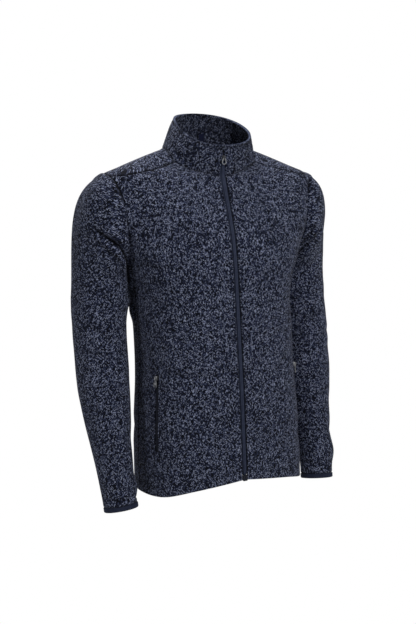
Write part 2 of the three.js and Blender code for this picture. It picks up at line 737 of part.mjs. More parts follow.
// Neck edge of the body from the right zip edge round the back to the left zip edge
function neckLoop(front, back) {
  const right = [];
  const top = front.length - 1;
  for (let n = ROWS_NECK_FRONT; n >= 0; n -= 1) right.push(front[top - n][0].point.clone());
  const backTop = back[back.length - 1];
  for (let n = COLUMNS_FRONT + 1; n < backTop.length; n += 1) right.push(backTop[n].point.clone());
  const left = right.slice(0, -1).reverse().map((p) => new THREE.Vector3(-p.x, p.y, p.z));
  return right.concat(left);
}

function collarTopPoint(fraction) {
  const turn = Math.PI * (1 - 2 * fraction);
  const middleY = (COLLAR_TOP.frontY + COLLAR_TOP.backY) / 2;
  const reach = (COLLAR_TOP.backY - COLLAR_TOP.frontY) / 2;
  const square = COLLAR_TOP.squareness;
  const y = middleY + (reach * (Math.cos(turn) - square * Math.cos(3 * turn))) / (1 - square);
  const rise = (y - COLLAR_TOP.frontY) / (COLLAR_TOP.backY - COLLAR_TOP.frontY);
  const z = lerp(COLLAR_TOP.frontZ, COLLAR_TOP.backZ, rise);
  const across = (Math.sin(turn) + square * Math.sin(3 * turn)) / (1 - square);
  return new THREE.Vector3(-COLLAR_TOP.half * across, y, z);
}

function collarGrid(front, back) {
  const base = neckLoop(front, back);
  const lengths = [0];
  for (let n = 1; n < base.length; n += 1) lengths.push(lengths[n - 1] + base[n].distanceTo(base[n - 1]));
  const total = lengths[base.length - 1];
  const lines = [];
  for (let i = 0; i <= ROWS_COLLAR; i += 1) {
    const t = i / ROWS_COLLAR;
    lines.push(base.map((start, n) => {
      const end = collarTopPoint(lengths[n] / total);
      const p = start.clone().lerp(end, t);
      const bow = COLLAR_BOW * Math.sin(Math.PI * t) * Math.sin((Math.PI * lengths[n]) / total);
      const outward = new THREE.Vector3(p.x, p.y - NECK_AXIS_Y, 0).normalize();
      p.addScaledVector(outward, bow);
      const edge = Math.min(n, base.length - 1 - n);
      if (edge === 0) {
        const half = readTable(ZIP_OPENING, 'z', 'half', p.z);
        p.x = n === 0 ? -half : half;
      }
      return p;
    }));
  }
  return lines.map((line, i) => line.map((point, j) => {
    const along = lines[Math.min(ROWS_COLLAR, i + 1)][j].clone().sub(lines[Math.max(0, i - 1)][j]);
    const around = line[Math.min(line.length - 1, j + 1)].clone().sub(line[Math.max(0, j - 1)]);
    const wallDirection = along.cross(around).normalize();
    if (wallDirection.dot(new THREE.Vector3(point.x, point.y - NECK_AXIS_Y, 0)) < 0) wallDirection.negate();
    if (j === 0 || j === line.length - 1) wallDirection.setX(0).normalize();
    return { point, wallDirection, wall: COLLAR_WALL };
  }));
}

// Fold the collar's top edge over with a soft bevel.
function roundCollarEdge(grid) {
  const extra = grid[grid.length - 1].map((v) => ({
    point: v.point.clone().addScaledVector(v.wallDirection, -COLLAR_EDGE_ROUND),
    wallDirection: v.wallDirection.clone(),
    wall: v.wall - 2 * COLLAR_EDGE_ROUND,
  }));
  const beneath = grid[grid.length - 2];
  grid[grid.length - 1].forEach((v, j) => {
    const drop = v.point.clone().sub(beneath[j].point).normalize();
    v.point.addScaledVector(drop, -COLLAR_EDGE_ROUND);
  });
  grid.push(extra);
}

// How far forward the closed collar's front edge is at a height
function collarFrontY(z) {
  const neckY = bodyPoint(0, NECK_FRONT_Z).y;
  const lean = (COLLAR_TOP.frontY - neckY) / (COLLAR_TOP.frontZ - NECK_FRONT_Z);
  return neckY + lean * (z - NECK_FRONT_Z);
}

// Zip tape, wearer's right: a strip beside the centre line, just below the front's face
function tapeGrid() {
  const edge = frontEdge(TAPE_END_Z, NECK_FRONT_Z, TAPE_ROWS);
  const rows = edge.map((place) => ({ z: place.z, y: bodyPoint(0, place.z).y }));
  for (const z of TAPE_TOP_ROWS) rows.push({ z, y: collarFrontY(z) });
  return rows.map((row) => {
    const half = readTable(ZIP_OPENING, 'z', 'half', row.z) - TAPE_CLEAR;
    return [TAPE_MIDDLE_X, half * COIL_SHARE, half * TAPE_SHARE, half].map((x, n) => ({
      point: new THREE.Vector3(-x, row.y + TAPE_SUNK - (n === 1 ? COIL_RIDGE : 0), row.z),
      wallDirection: new THREE.Vector3(0, -1, 0),
      wall: TAPE_WALL,
    }));
  });
}

// A place on a panel's face between its own mesh lines
function onPanel(grid, row, column) {
  const i = Math.min(grid.length - 2, Math.floor(row));
  const j = Math.min(grid[0].length - 2, Math.floor(column));
  const u = row - i;
  const v = column - j;
  const mix = (key) => {
    const low = grid[i][j][key].clone().lerp(grid[i][j + 1][key], v);
    const high = grid[i + 1][j][key].clone().lerp(grid[i + 1][j + 1][key], v);
    return low.lerp(high, u);
  };
  return { point: mix('point'), wallDirection: mix('wallDirection').normalize() };
}

// Pocket zip tape, laid on the front panel and made from its points
function pocketTapeGrid(front) {
  const rows = [POCKET.bottomRow];
  for (let r = Math.ceil(POCKET.bottomRow); r < POCKET.topRow; r += 1) rows.push(r);
  rows.push(POCKET.topRow);
  return rows.map((row) => POCKET_TAPE_COLUMNS.map((side) => {
    const place = onPanel(front, row, POCKET.column + side * POCKET.halfWidth);
    const ridge = Math.abs(side) < 1 ? POCKET_COIL_RIDGE : 0;
    place.point.addScaledVector(place.wallDirection, POCKET_TAPE_OFF + POCKET_TAPE_WALL + ridge);
    return { ...place, wall: POCKET_TAPE_WALL + ridge };
  }));
}

// Plain navy patch on the inside of the collar, beside the centre back
function neckPatchGrid(collar) {
  const middle = (collar[0].length - 1) / 2;
  return PATCH_ROWS.map((row) => PATCH_COLUMNS.map((column) => {
    const place = onPanel(collar, row, middle + column);
    place.point.addScaledVector(place.wallDirection, -COLLAR_WALL - PATCH_OFF);
    return { ...place, wall: PATCH_WALL };
  }));
}

// Solid joining, for the metal parts
function toSolid(geometry) {
  const plain = geometry.index ? geometry.toNonIndexed() : geometry;
  const at = plain.getAttribute('position');
  const keys = new Map();
  const vertices = [];
  const faces = [];
  for (let k = 0; k < at.count; k += 1) {
    const key = [at.getX(k), at.getY(k), at.getZ(k)].map((v) => Math.round(v * MERGE_PER_MM)).join();
    if (!keys.has(key)) {
      keys.set(key, vertices.length / 3);
      vertices.push(at.getX(k), at.getY(k), at.getZ(k));
    }
    faces.push(keys.get(key));
  }
  const mesh = new wasm.Mesh({
    numProp: 3,
    vertProperties: Float32Array.from(vertices),
    triVerts: Uint32Array.from(faces),
  });
  return new wasm.Manifold(mesh);
}

function fromSolid(solid) {
  const mesh = solid.getMesh();
  const geometry = new THREE.BufferGeometry();
  geometry.setAttribute('position', new THREE.BufferAttribute(mesh.vertProperties.slice(), 3));
  geometry.setIndex(new THREE.BufferAttribute(mesh.triVerts.slice(), 1));
  geometry.computeVertexNormals();
  return geometry;
}

// The same outline with repeated points dropped
function cleanShape(shape, segments) {
  const drop = (points) => points.filter((p, n) => {
    const before = points[(n + points.length - 1) % points.length];
    return p.distanceTo(before) > SAME_POINT;
  });
  const { shape: outline, holes } = shape.extractPoints(segments);
  const clean = new THREE.Shape(drop(outline));
  clean.holes = holes.map((hole) => new THREE.Path(drop(hole)));
  return clean;
}

// Slider in its own axes: X across the zip, Y along it, Z away from the cloth
function sliderGeometry() {
  const plate = new THREE.ExtrudeGeometry(cleanShape(plateShape(), CURVE_STEPS.slider), {
    depth: SLIDER.plate,
    bevelEnabled: false,
  });
  const bridge = new THREE.ExtrudeGeometry(cleanShape(bridgeShape(), CURVE_STEPS.bridge), {
    depth: BRIDGE.wide,
    bevelEnabled: false,
  });
  bridge.translate(0, 0, -BRIDGE.wide / 2);
  bridge.applyMatrix4(new THREE.Matrix4().makeBasis(
    new THREE.Vector3(0, 1, 0),
    new THREE.Vector3(0, 0, 1),
    new THREE.Vector3(1, 0, 0),
  ));
  bridge.translate(0, 0, SLIDER.plate);
  return fromSolid(toSolid(plate).add(toSolid(bridge)));
}

// Slider plate, narrow at its lower end
function plateShape() {
  const outline = new THREE.Shape();
  const end = SLIDER.long / 2;
  const half = SLIDER.wide / 2;
  const neck = SLIDER.neck / 2;
  const waist = -end * SLIDER_WAIST;
  const shoulder = end * SLIDER_SHOULDER;
  outline.moveTo(-neck, -end);
  outline.lineTo(neck, -end);
  outline.quadraticCurveTo(half, waist, half, shoulder);
  outline.quadraticCurveTo(half, end, half / 2, end);
  outline.lineTo(-half / 2, end);
  outline.quadraticCurveTo(-half, end, -half, shoulder);
  outline.quadraticCurveTo(-half, waist, -neck, -end);
  return outline;
}

// Side view of the bridge, with the slot that the pull tab hangs in
function bridgeShape() {
  const high = BRIDGE.high;
  const arch = new THREE.Shape();
  arch.moveTo(-BRIDGE.half, -BRIDGE.sunk);
  arch.lineTo(BRIDGE.half, -BRIDGE.sunk);
  arch.lineTo(BRIDGE.half, high * BRIDGE.straight);
  arch.quadraticCurveTo(BRIDGE.curve, high, BRIDGE.flat, high);
  arch.lineTo(-BRIDGE.flat, high);
  arch.quadraticCurveTo(-BRIDGE.curve, high, -BRIDGE.half, high * BRIDGE.straight);
  arch.closePath();
  const slot = new THREE.Path();
  const top = high * BRIDGE_SLOT.high;
  slot.moveTo(-BRIDGE_SLOT.half, 0);
  slot.lineTo(-BRIDGE_SLOT.half, top);
  slot.lineTo(BRIDGE_SLOT.half, top);
  slot.lineTo(BRIDGE_SLOT.half, 0);
  slot.closePath();
  arch.holes.push(slot);
  return arch;
}

// Pull tab hanging from the bridge. Its cross bar lies in the slot, on the hinge line.
function pullGeometry(pull) {
  const half = pull.wide / 2;
  const neck = PULL.neck / 2;
  const bar = PULL.bar / 2;
  const round = -pull.long + half;
  const from = -pull.neckEnd - PULL_SHOULDER.start;
  const to = -pull.neckEnd - PULL_SHOULDER.end;
  const tab = new THREE.Shape();
  tab.moveTo(-neck, bar);
  tab.lineTo(-neck, from);
  tab.quadraticCurveTo(-half, to, -half, round);
  tab.absarc(0, round, half, Math.PI, Math.PI * 2, false);
  tab.quadraticCurveTo(half, to, neck, from);
  tab.lineTo(neck, bar);
  tab.closePath();
  tab.holes = pull.loop ? [loopOpening(pull, bar, round)] : tabOpenings(pull, bar, round);
  const geometry = new THREE.ExtrudeGeometry(cleanShape(tab, CURVE_STEPS.pull), {
    depth: PULL.thick,
    bevelEnabled: false,
  });
  geometry.translate(0, 0, -PULL.thick / 2);
  return geometry;
}

// One opening, from the cross bar down into the round end
function loopOpening(pull, bar, round) {
  const opening = new THREE.Path();
  opening.moveTo(-PULL.windowHalf, -bar);
  opening.lineTo(PULL.windowHalf, -bar);
  opening.lineTo(pull.hole, round);
  opening.absarc(0, round, pull.hole, 0, -Math.PI, true);
  opening.closePath();
  return opening;
}

// A window below the cross bar and a round hole in the lower end
function tabOpenings(pull, bar, round) {
  const window = new THREE.Path();
  window.moveTo(-PULL.windowHalf, -bar);
  window.lineTo(PULL.windowHalf, -bar);
  window.lineTo(PULL.windowHalf, -pull.neckEnd);
  window.lineTo(-PULL.windowHalf, -pull.neckEnd);
  window.closePath();
  const hole = new THREE.Path();
  hole.absarc(0, round, pull.hole, 0, Math.PI * 2, true);
  return [window, hole];
}

const PULL_BAR_HEIGHT = SLIDER.plate + PULL.clear + PULL.thick / 2;

// Place slider and pull on a zip: at a point, with the zip's direction and the outward one
function placed(geometry, point, up, outward) {
  const z = outward.clone().normalize();
  const y = up.clone().addScaledVector(z, -up.dot(z)).normalize();
  const x = y.clone().cross(z);
  const matrix = new THREE.Matrix4().makeBasis(x, y, z).setPosition(point);
  return geometry.clone().applyMatrix4(matrix);
}

function metalMaterial() {
  return new THREE.MeshStandardMaterial({ color: COLOURS.metal, roughness: 0.38, metalness: 0.9 });
}

function clothMaterial(colour) {
  return new THREE.MeshStandardMaterial({ color: colour, roughness: 0.95, metalness: 0 });
}

function addMesh(group, name, geometry, material) {
  const mesh = new THREE.Mesh(geometry, material);
  mesh.name = name;
  group.add(mesh);
}

function addSliderAndPull(group, names, point, up, outward, pull) {
  const base = point.clone().addScaledVector(outward, SLIDER.seat);
  addMesh(group, names.slider, placed(sliderGeometry(), base, up, outward), metalMaterial());
  const tab = pullGeometry(pull);
  tab.translate(0, 0, PULL_BAR_HEIGHT);
  addMesh(group, names.pull, placed(tab, base, up, outward), metalMaterial());
}

function zipBoxGeometry() {
  const box = new THREE.BoxGeometry(ZIP_BOX.width, ZIP_BOX.depth, ZIP_BOX.height);
  const y = bodyPoint(0, TAPE_END_Z).y;
  box.translate(0, y + ZIP_BOX.behind, TAPE_END_Z - SEAM_GAP - ZIP_BOX.height / 2);
  return box;
}

function addFrontSlider(jacket) {
  const z = ZIP_TOP_Z + SLIDER.long / 2 - SLIDER.belowTop;
  const rise = COLLAR_TOP.frontZ - NECK_FRONT_Z;
  const along = new THREE.Vector3(0, COLLAR_TOP.frontY - bodyPoint(0, NECK_FRONT_Z).y, rise).normalize();
  const outward = new THREE.Vector3(0, -along.z, along.y);
  const point = new THREE.Vector3(0, collarFrontY(z), z);
  addSliderAndPull(jacket, { slider: 'front_slider', pull: 'front_pull' }, point, along, outward, FRONT_PULL);
}

function addPocketSliders(jacket, front) {
  const place = onPanel(front, POCKET_SLIDER_ROW, POCKET.column);
  const lower = onPanel(front, POCKET_SLIDER_ROW - 1, POCKET.column);
  const along = place.point.clone().sub(lower.point).normalize();
  const face = place.wallDirection;
  const off = POCKET_TAPE_OFF + POCKET_TAPE_WALL + POCKET_COIL_RIDGE;
  const seat = place.point.clone().addScaledVector(face, off);
  for (const side of ['right', 'left']) {
    const flip = new THREE.Vector3(side === 'right' ? 1 : -1, 1, 1);
    const names = { slider: `pocket_slider_${side}`, pull: `pocket_pull_${side}` };
    const at = [seat, along, face].map((v) => v.clone().multiply(flip));
    addSliderAndPull(jacket, names, ...at, POCKET_PULL);
  }
}

function buildJacket() {
  const jacket = new THREE.Group();
  const front = panelPoints(frontGrid());
  const backHalf = panelPoints(backHalfGrid());
  const sleeve = sleeveGrid(front, backHalf);
  const collar = collarGrid(front, backHalf);
  mitreArmhole(front, backHalf, sleeve);
  const seam = SEAM_GAP / 2;
  pullBackEdges(front, ['left', 'right', 'top'], seam);
  pullBackEdges(backHalf, ['left', 'top'], seam);
  pullBackRing(sleeve, 0, 1, seam);
  pullBackEdges(collar, ['bottom'], seam);
  roundCollarEdge(collar);
  const back = wholeBack(backHalf);
  const binding = cuffBindingGrid();
  const tape = tapeGrid();
  const pocket = pocketTapeGrid(front);

  addMesh(jacket, 'front_right', wallGeometry(front, false), clothMaterial(COLOURS.fleece));
  addMesh(jacket, 'front_left', wallGeometry(mirrorGrid(front), false), clothMaterial(COLOURS.fleece));
  addMesh(jacket, 'back', wallGeometry(back, false), clothMaterial(COLOURS.fleece));
  addMesh(jacket, 'sleeve_right', wallGeometry(sleeve, true), clothMaterial(COLOURS.fleece));
  addMesh(jacket, 'sleeve_left', wallGeometry(mirrorGrid(sleeve), true), clothMaterial(COLOURS.fleece));
  addMesh(jacket, 'collar', wallGeometry(collar, false), clothMaterial(COLOURS.fleece));
  addMesh(jacket, 'cuff_binding_right', wallGeometry(binding, true), clothMaterial(COLOURS.binding));
  addMesh(jacket, 'cuff_binding_left', wallGeometry(mirrorGrid(binding), true), clothMaterial(COLOURS.binding));
  addMesh(jacket, 'zip_tape_right', wallGeometry(tape, false), clothMaterial(COLOURS.tape));
  addMesh(jacket, 'zip_tape_left', wallGeometry(mirrorGrid(tape), false), clothMaterial(COLOURS.tape));
  addMesh(jacket, 'pocket_zip_right', wallGeometry(pocket, false), clothMaterial(COLOURS.tape));
  addMesh(jacket, 'pocket_zip_left', wallGeometry(mirrorGrid(pocket), false), clothMaterial(COLOURS.tape));
  addMesh(jacket, 'neck_patch', wallGeometry(neckPatchGrid(collar), false), clothMaterial(COLOURS.patch));
  addMesh(jacket, 'zip_box', zipBoxGeometry(), clothMaterial(COLOURS.tape));

  addFrontSlider(jacket);
  addPocketSliders(jacket, front);
  return jacket;
}

export default buildJacket();
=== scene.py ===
import math

import bmesh
import bpy
import numpy as np
from mathutils import Matrix, Vector


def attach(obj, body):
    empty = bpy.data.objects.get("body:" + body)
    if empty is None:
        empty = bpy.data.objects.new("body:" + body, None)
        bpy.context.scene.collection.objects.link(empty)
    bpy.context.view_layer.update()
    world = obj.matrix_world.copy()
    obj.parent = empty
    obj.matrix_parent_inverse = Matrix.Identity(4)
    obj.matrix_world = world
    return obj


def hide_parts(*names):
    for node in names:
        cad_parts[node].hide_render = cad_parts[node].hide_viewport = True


# Fleece zip jacket with a stand collar, filled out as if worn, with nobody in it.
# Tables are in millimetres, Z up, front towards -Y, the wearer's right side at -X.
# Meshes are in metres.

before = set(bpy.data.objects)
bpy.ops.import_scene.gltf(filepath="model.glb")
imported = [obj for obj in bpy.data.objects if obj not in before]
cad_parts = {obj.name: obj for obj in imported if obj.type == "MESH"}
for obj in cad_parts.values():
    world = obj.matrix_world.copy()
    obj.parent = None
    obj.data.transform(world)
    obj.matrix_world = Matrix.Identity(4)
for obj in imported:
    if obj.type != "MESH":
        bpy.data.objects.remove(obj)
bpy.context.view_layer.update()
bpy.ops.object.select_all(action="DESELECT")

MM = 0.001

# Horizontal sections of the body: height, half width, depth ahead, depth behind
BODY_SECTIONS = np.array([
    [-760, 177, 141, 128],
    [-720, 176.5, 141.5, 128],
    [-674, 176, 142.5, 127.5],
    [-639, 175.5, 143.5, 126],
    [-577, 173.5, 142.5, 123],
    [-494, 169, 141, 119],
    [-426, 166, 138, 119.5],
    [-354, 165.5, 135, 123],
    [-286, 170, 132, 128],
    [-240, 184, 129.5, 130],
    [-195, 204, 124, 129],
    [-149, 222, 112, 124],
    [-103, 236, 96, 112],
    [-80, 240, 87.5, 104],
    [-62, 236, 80.5, 97],
    [-50, 223, 68, 91],
    [-38, 194, 56, 84],
    [-25, 162, 45, 75],
    [-12, 128, 37, 66],
    [0, 95, 30, 58],
    [12, 70, 25, 50],
], float)
SQUARENESS = 0.05
BODY_LIMITS = (-750, 10)

# How often a place is moved nearer to its target, and a panel's mesh evened out
SEARCH_STEPS = 16
COARSE_PASSES = 22
FINE_PASSES = 3

ZIP_FOOT = -674
ZIP_HEAD = -62
BACK_FOOT = -714
BACK_NECK = -1
UNDERARM = -276
SHOULDER_TOP = -57

# Lines on the body as angle and height. 0 is the centre front, 180 the centre back.
HEM_LINE = [(0, ZIP_FOOT), (30, -686), (60, -701), (90, -706), (135, -710), (180, BACK_FOOT)]
NECK_FRONT = [(0, ZIP_HEAD), (8, -53), (17, -41), (26, -31)]
NECK_BACK = [
    (26, -31), (31, -22), (45, -10), (64, -3), (90, 0), (115, 1), (145, 0), (180, BACK_NECK),
]
SHOULDER_SEAM = [(26, -31), (30, -40), (36, -48), (42, -53), (54, -57.5), (68, -58)]
SIDE_SEAM = [(90, -706), (90, UNDERARM)]
ARMHOLE_FRONT = [
    (90, UNDERARM), (79, -230), (60, -154), (55.5, -114), (56, -90), (60, -70), (68, -58),
]
ARMHOLE_BACK = [
    (90, UNDERARM), (102, -225), (117, -150), (118, -100), (108, -68), (90, -50), (68, -58),
]
LINE_SAMPLES = 601
EDGE_SAMPLES = 401

# Half width of the gap between the fronts, by height
ZIP_HALF = 6.1
ZIP_OPENING = np.array([
    [-720, ZIP_HALF], [-140, ZIP_HALF], [-100, 6.6], [-66, 7.4],
    [-42, 6], [-27, 2.6], [-15, 1.1], [20, 0.9],
], float)

# Sleeve rings: centre, half width across, half depth
SLEEVE_RINGS = np.array([
    [232.5, 39, -306, 59.8, 62.3],
    [235, 39, -330, 57.8, 60.3],
    [237.5, 34, -360, 55.3, 58.3],
    [238.5, 29, -400, 54.8, 56.8],
    [238.5, 25, -440, 54.8, 56.8],
    [238.5, 20, -480, 53.8, 55.3],
    [237.5, 13, -520, 50.8, 51.8],
    [236.5, 5, -560, 46.8, 48.3],
    [235.5, -5, -600, 41.8, 42.8],
    [234, -16, -640, 38.3, 39.3],
    [232.5, -26, -680, 35.8, 36.8],
    [230, -33.5, -719, 34.3, 35.3],
], float)
SLEEVE_FRONT_SEAM_ANGLE = 28
SLEEVE_UNDER_ANGLE = 180

COLLAR_FRONT_Y = -91.5
COLLAR_FRONT_Z = -0.4
COLLAR_BACK_Y = 48.5
COLLAR_BACK_Z = 79.5
COLLAR_HALF = 78.5
COLLAR_SQUARENESS = 0.02
COLLAR_BOW = 3.2
COLLAR_LEAN = 8.5
COLLAR_LIFT = 5.5

CLOTH_WALL = 2.0
COLLAR_WALL = 4.4
HEM_DEPTH = 21
HEM_WALL = 3.6

# How far the cloth bulges at an edge that is sewn, folded at the hem, or folded at the zip
SEWN_BULGE = 0.12
HEM_BULGE = 1.2
ZIP_BULGE = 0.9

# How many parts each panel edge has, before each part is cut finer
FRONT_COLUMNS = 12
BACK_NECK_COLUMNS = 8
SIDE_ROWS = 19
ARMHOLE_ROWS = 11
NECK_ROWS = 7
SLEEVE_FRONT_PARTS = 11
SLEEVE_BACK_PARTS = 13
FRONT_FINER = 7
BACK_FINER = 5
SLEEVE_FINER = 8
EDGE_MARKS = (0.035, 0.075, 0.12, 0.2)

# Pocket zip, by the front panel's rows and columns
POCKET_COLUMN = 8.5
POCKET_ROWS = (3.73, 10.2)
POCKET_HALF = 4.0
POCKET_EDGE = 1.0
POCKET_DEPTH = 2.3

# Broad folds, the same on both sides: start, end, width, height
BROAD_BODY_FOLDS = [
    ((-196, -62, -205), (-120, -118, -150), 26, -3),
    ((-172, -30, -280), (-140, -100, -330), 30, -3.5),
    ((-60, -75, -60), (-105, -85, -110), 24, -2.5),
    ((-168, 20, -420), (-130, -95, -470), 34, -2.5),
    ((-120, 95, -160), (-165, 60, -300), 32, -4),
    ((-60, 118, -430), (-150, 70, -480), 36, -3),
    ((-70, 125, -640), (-60, 122, -540), 34, 3),
]
BROAD_SLEEVE_FOLDS = [
    ((-268, -12, -168), (-190, -26, -262), 17, -8),
    ((-262, -10, -205), (-205, -22, -275), 15, -5),
    ((-262, 80, -170), (-196, 70, -262), 20, -7),
    ((-275, 0, -440), (-205, -12, -470), 20, -3.5),
    ((-270, 60, -380), (-205, 70, -430), 24, 3),
    ((-270, -12, -560), (-205, -25, -585), 18, -3.5),
    ((-262, -40, -630), (-205, -45, -650), 15, -3),
]


def table_curve(table, column, at):
    """Smooth curve through a column of a table, with slopes that never overshoot."""
    keys = table[:, 0]
    values = table[:, column]
    slope = np.diff(values) / np.diff(keys)
    before = slope[:-1]
    after = slope[1:]
    same = before * after > 0
    tangent = np.empty(len(keys))
    tangent[0] = slope[0]
    tangent[-1] = slope[-1]
    tangent[1:-1] = np.where(same, 2 * before * after / np.where(same, before + after, 1), 0)
    at = np.clip(at, keys[0], keys[-1])
    i = np.clip(np.searchsorted(keys, at, side="right") - 1, 0, len(keys) - 2)
    span = keys[i + 1] - keys[i]
    t = (at - keys[i]) / span
    rise = (values[i + 1] - values[i]) * t * t * (3 - 2 * t)
    ease = tangent[i] * t * (1 - t) ** 2 + tangent[i + 1] * t * t * (t - 1)
    return values[i] + rise + ease * span


def smooth(t):
    t = np.clip(t, 0, 1)
    return t * t * (3 - 2 * t)


def unit(v):
    return v / np.maximum(np.linalg.norm(v, axis=-1, keepdims=True), 1e-9)


def dot(a, b):
    return np.sum(a * b, axis=-1)


def bell(away, width):
    return np.exp(-((away / width) ** 2))


def lengths_along(points, axis=0):
    """Length from the first point of a line, or of each line along an axis of a grid."""
    steps = np.linalg.norm(np.diff(points, axis=axis), axis=-1)
    start = np.zeros_like(np.take(steps, [0], axis))
    return np.concatenate([start, np.cumsum(steps, axis=axis)], axis=axis)


def rows_at(at, length, rows):
    """Rows of a table, blended at the given lengths along it."""
    return np.stack([np.interp(at, length, column) for column in rows.T], axis=-1)


# Body surface on the wearer's right half. A place is an angle and a height.

def body_points(places):
    a = np.radians(places[..., 0])
    z = places[..., 1]
    half = table_curve(BODY_SECTIONS, 1, z)
    front = table_curve(BODY_SECTIONS, 2, z)
    back = table_curve(BODY_SECTIONS, 3, z)
    depth = np.where(np.cos(a) >= 0, front, back)
    across = (np.sin(a) + SQUARENESS * np.sin(3 * a)) / (1 - SQUARENESS)
    along = (np.cos(a) - SQUARENESS * np.cos(3 * a)) / (1 - SQUARENESS)
    return np.stack([-half * across, -depth * along, z], axis=-1)


def body_slopes(places):
    step_a = np.array([0.5, 0])
    step_z = np.array([0, 0.5])
    da = body_points(places + step_a) - body_points(places - step_a)
    dz = body_points(places + step_z) - body_points(places - step_z)
    return da, dz


def body_normals(places):
    da, dz = body_slopes(places)
    return unit(np.cross(dz, da))


def nearest_on_body(target, places, steps):
    places = np.array(places, float)
    for _ in range(steps):
        miss = target - body_points(places)
        da, dz = body_slopes(places)
        aa = dot(da, da) + 0.02
        zz = dot(dz, dz) + 0.02
        az = dot(da, dz)
        ra = dot(miss, da)
        rz = dot(miss, dz)
        det = aa * zz - az * az
        places[..., 0] += np.clip((ra * zz - rz * az) / det, -8, 8)
        places[..., 1] += np.clip((rz * aa - ra * az) / det, -14, 14)
        places[..., 1] = np.clip(places[..., 1], *BODY_LIMITS)
    return places


def spread(fine, fractions):
    """Places at given shares of the length of a finely sampled line."""
    length = lengths_along(body_points(fine))
    return rows_at(np.asarray(fractions) * length[-1], length, fine)


def line_places(rows, fractions):
    rows = np.array(rows, float)
    table = np.column_stack([np.arange(len(rows)), rows])
    at = np.linspace(0, len(rows) - 1, LINE_SAMPLES)
    fine = np.stack([table_curve(table, 1, at), table_curve(table, 2, at)], axis=-1)
    return spread(fine, fractions)


def zip_edge_places(fractions):
    z = np.linspace(ZIP_FOOT, ZIP_HEAD, EDGE_SAMPLES)
    start = np.stack([np.full_like(z, 2.0), z], axis=-1)
    target = body_points(np.stack([np.zeros_like(z), z], axis=-1))
    target[:, 0] = -table_curve(ZIP_OPENING, 1, z)
    return spread(nearest_on_body(target, start, SEARCH_STEPS), fractions)


def neck_front_line():
    """The front neck line, from the zip's upper end."""
    return [tuple(zip_edge_places([1.0])[0])] + NECK_FRONT[1:]


def centre_back_places(fractions):
    z = np.linspace(BACK_FOOT, BACK_NECK, EDGE_SAMPLES)
    return spread(np.stack([np.full_like(z, 180.0), z], axis=-1), fractions)


def cell_marks(cells, finer, more=()):
    """Positions along an edge of so many parts, cut finer, closest at both ends."""
    near = np.array(EDGE_MARKS)
    even = np.linspace(0, cells, cells * finer + 1)
    marks = np.sort(np.concatenate([even, near, cells - near, np.array(more, float)]))
    apart = np.concatenate([[True], np.diff(marks) > 0.004])
    apart[-1] = True
    return marks[apart]


def two_part_line(marks, first_cells, cells, first, second):
    low = marks[marks <= first_cells]
    high = marks[marks > first_cells]
    return np.concatenate([
        first(low / first_cells),
        second((high - first_cells) / (cells - first_cells)),
    ])


def blend_edges(bottom, top, left, right, s, t):
    """Fill the inside of four edge lines by blending them across."""
    s = s[None, :, None]
    t = t[:, None, None]
    sides = (1 - s) * left[:, None] + s * right[:, None]
    ends = (1 - t) * bottom[None] + t * top[None]
    low = (1 - s) * left[0] + s * right[0]
    high = (1 - s) * left[-1] + s * right[-1]
    return sides + ends - (1 - t) * low - t * high


def set_border(grid, bottom, top, left, right):
    grid[0] = bottom
    grid[-1] = top
    grid[:, 0] = left
    grid[:, -1] = right


def settle(grid, passes, steps):
    for _ in range(passes):
        points = body_points(grid)
        middle = points[:-2, 1:-1] + points[2:, 1:-1] + points[1:-1, :-2] + points[1:-1, 2:]
        grid[1:-1, 1:-1] = nearest_on_body(middle / 4, grid[1:-1, 1:-1], steps)


def coarse_panel(edges, rows, columns):
    bottom, top, left, right = edges
    s = np.linspace(0, 1, columns + 1)
    t = np.linspace(0, 1, rows + 1)
    points = blend_edges(*[body_points(e) for e in edges], s, t)
    grid = nearest_on_body(points, blend_edges(bottom, top, left, right, s, t), SEARCH_STEPS)
    set_border(grid, bottom, top, left, right)
    settle(grid, COARSE_PASSES, 3)
    return grid


def sample_grid(grid, rows, columns):
    """Values of a grid at fractional rows and columns, by straight blending."""
    i = np.clip(np.floor(rows).astype(int), 0, grid.shape[0] - 2)
    j = np.clip(np.floor(columns).astype(int), 0, grid.shape[1] - 2)
    u = (rows - i)[:, None, None]
    v = (columns - j)[None, :, None]
    low = grid[i][:, j] * (1 - v) + grid[i][:, j + 1] * v
    high = grid[i + 1][:, j] * (1 - v) + grid[i + 1][:, j + 1] * v
    return low * (1 - u) + high * u


def fine_panel(coarse, edges, rows, columns):
    """The same panel cut finer, with its borders exactly on their lines."""
    grid = sample_grid(coarse, rows, columns)
    s = columns / columns[-1]
    t = rows / rows[-1]
    ends = [grid[0].copy(), grid[-1].copy(), grid[:, 0].copy(), grid[:, -1].copy()]
    grid += blend_edges(*[e - g for e, g in zip(edges, ends)], s, t)
    settle(grid, FINE_PASSES, 2)
    set_border(grid, *edges)
    return grid


def front_edges(rows, columns):
    all_rows = SIDE_ROWS + ARMHOLE_ROWS
    zip_rows = all_rows - NECK_ROWS
    neck = neck_front_line()
    hem = [tuple(zip_edge_places([0.0])[0])] + HEM_LINE[1:4]
    left = two_part_line(
        rows, zip_rows, all_rows, zip_edge_places, lambda f: line_places(neck, f))
    right = two_part_line(
        rows, SIDE_ROWS, all_rows,
        lambda f: line_places(SIDE_SEAM, f), lambda f: line_places(ARMHOLE_FRONT, f))
    s = columns / columns[-1]
    return [line_places(hem, s), line_places(SHOULDER_SEAM, s), left, right]


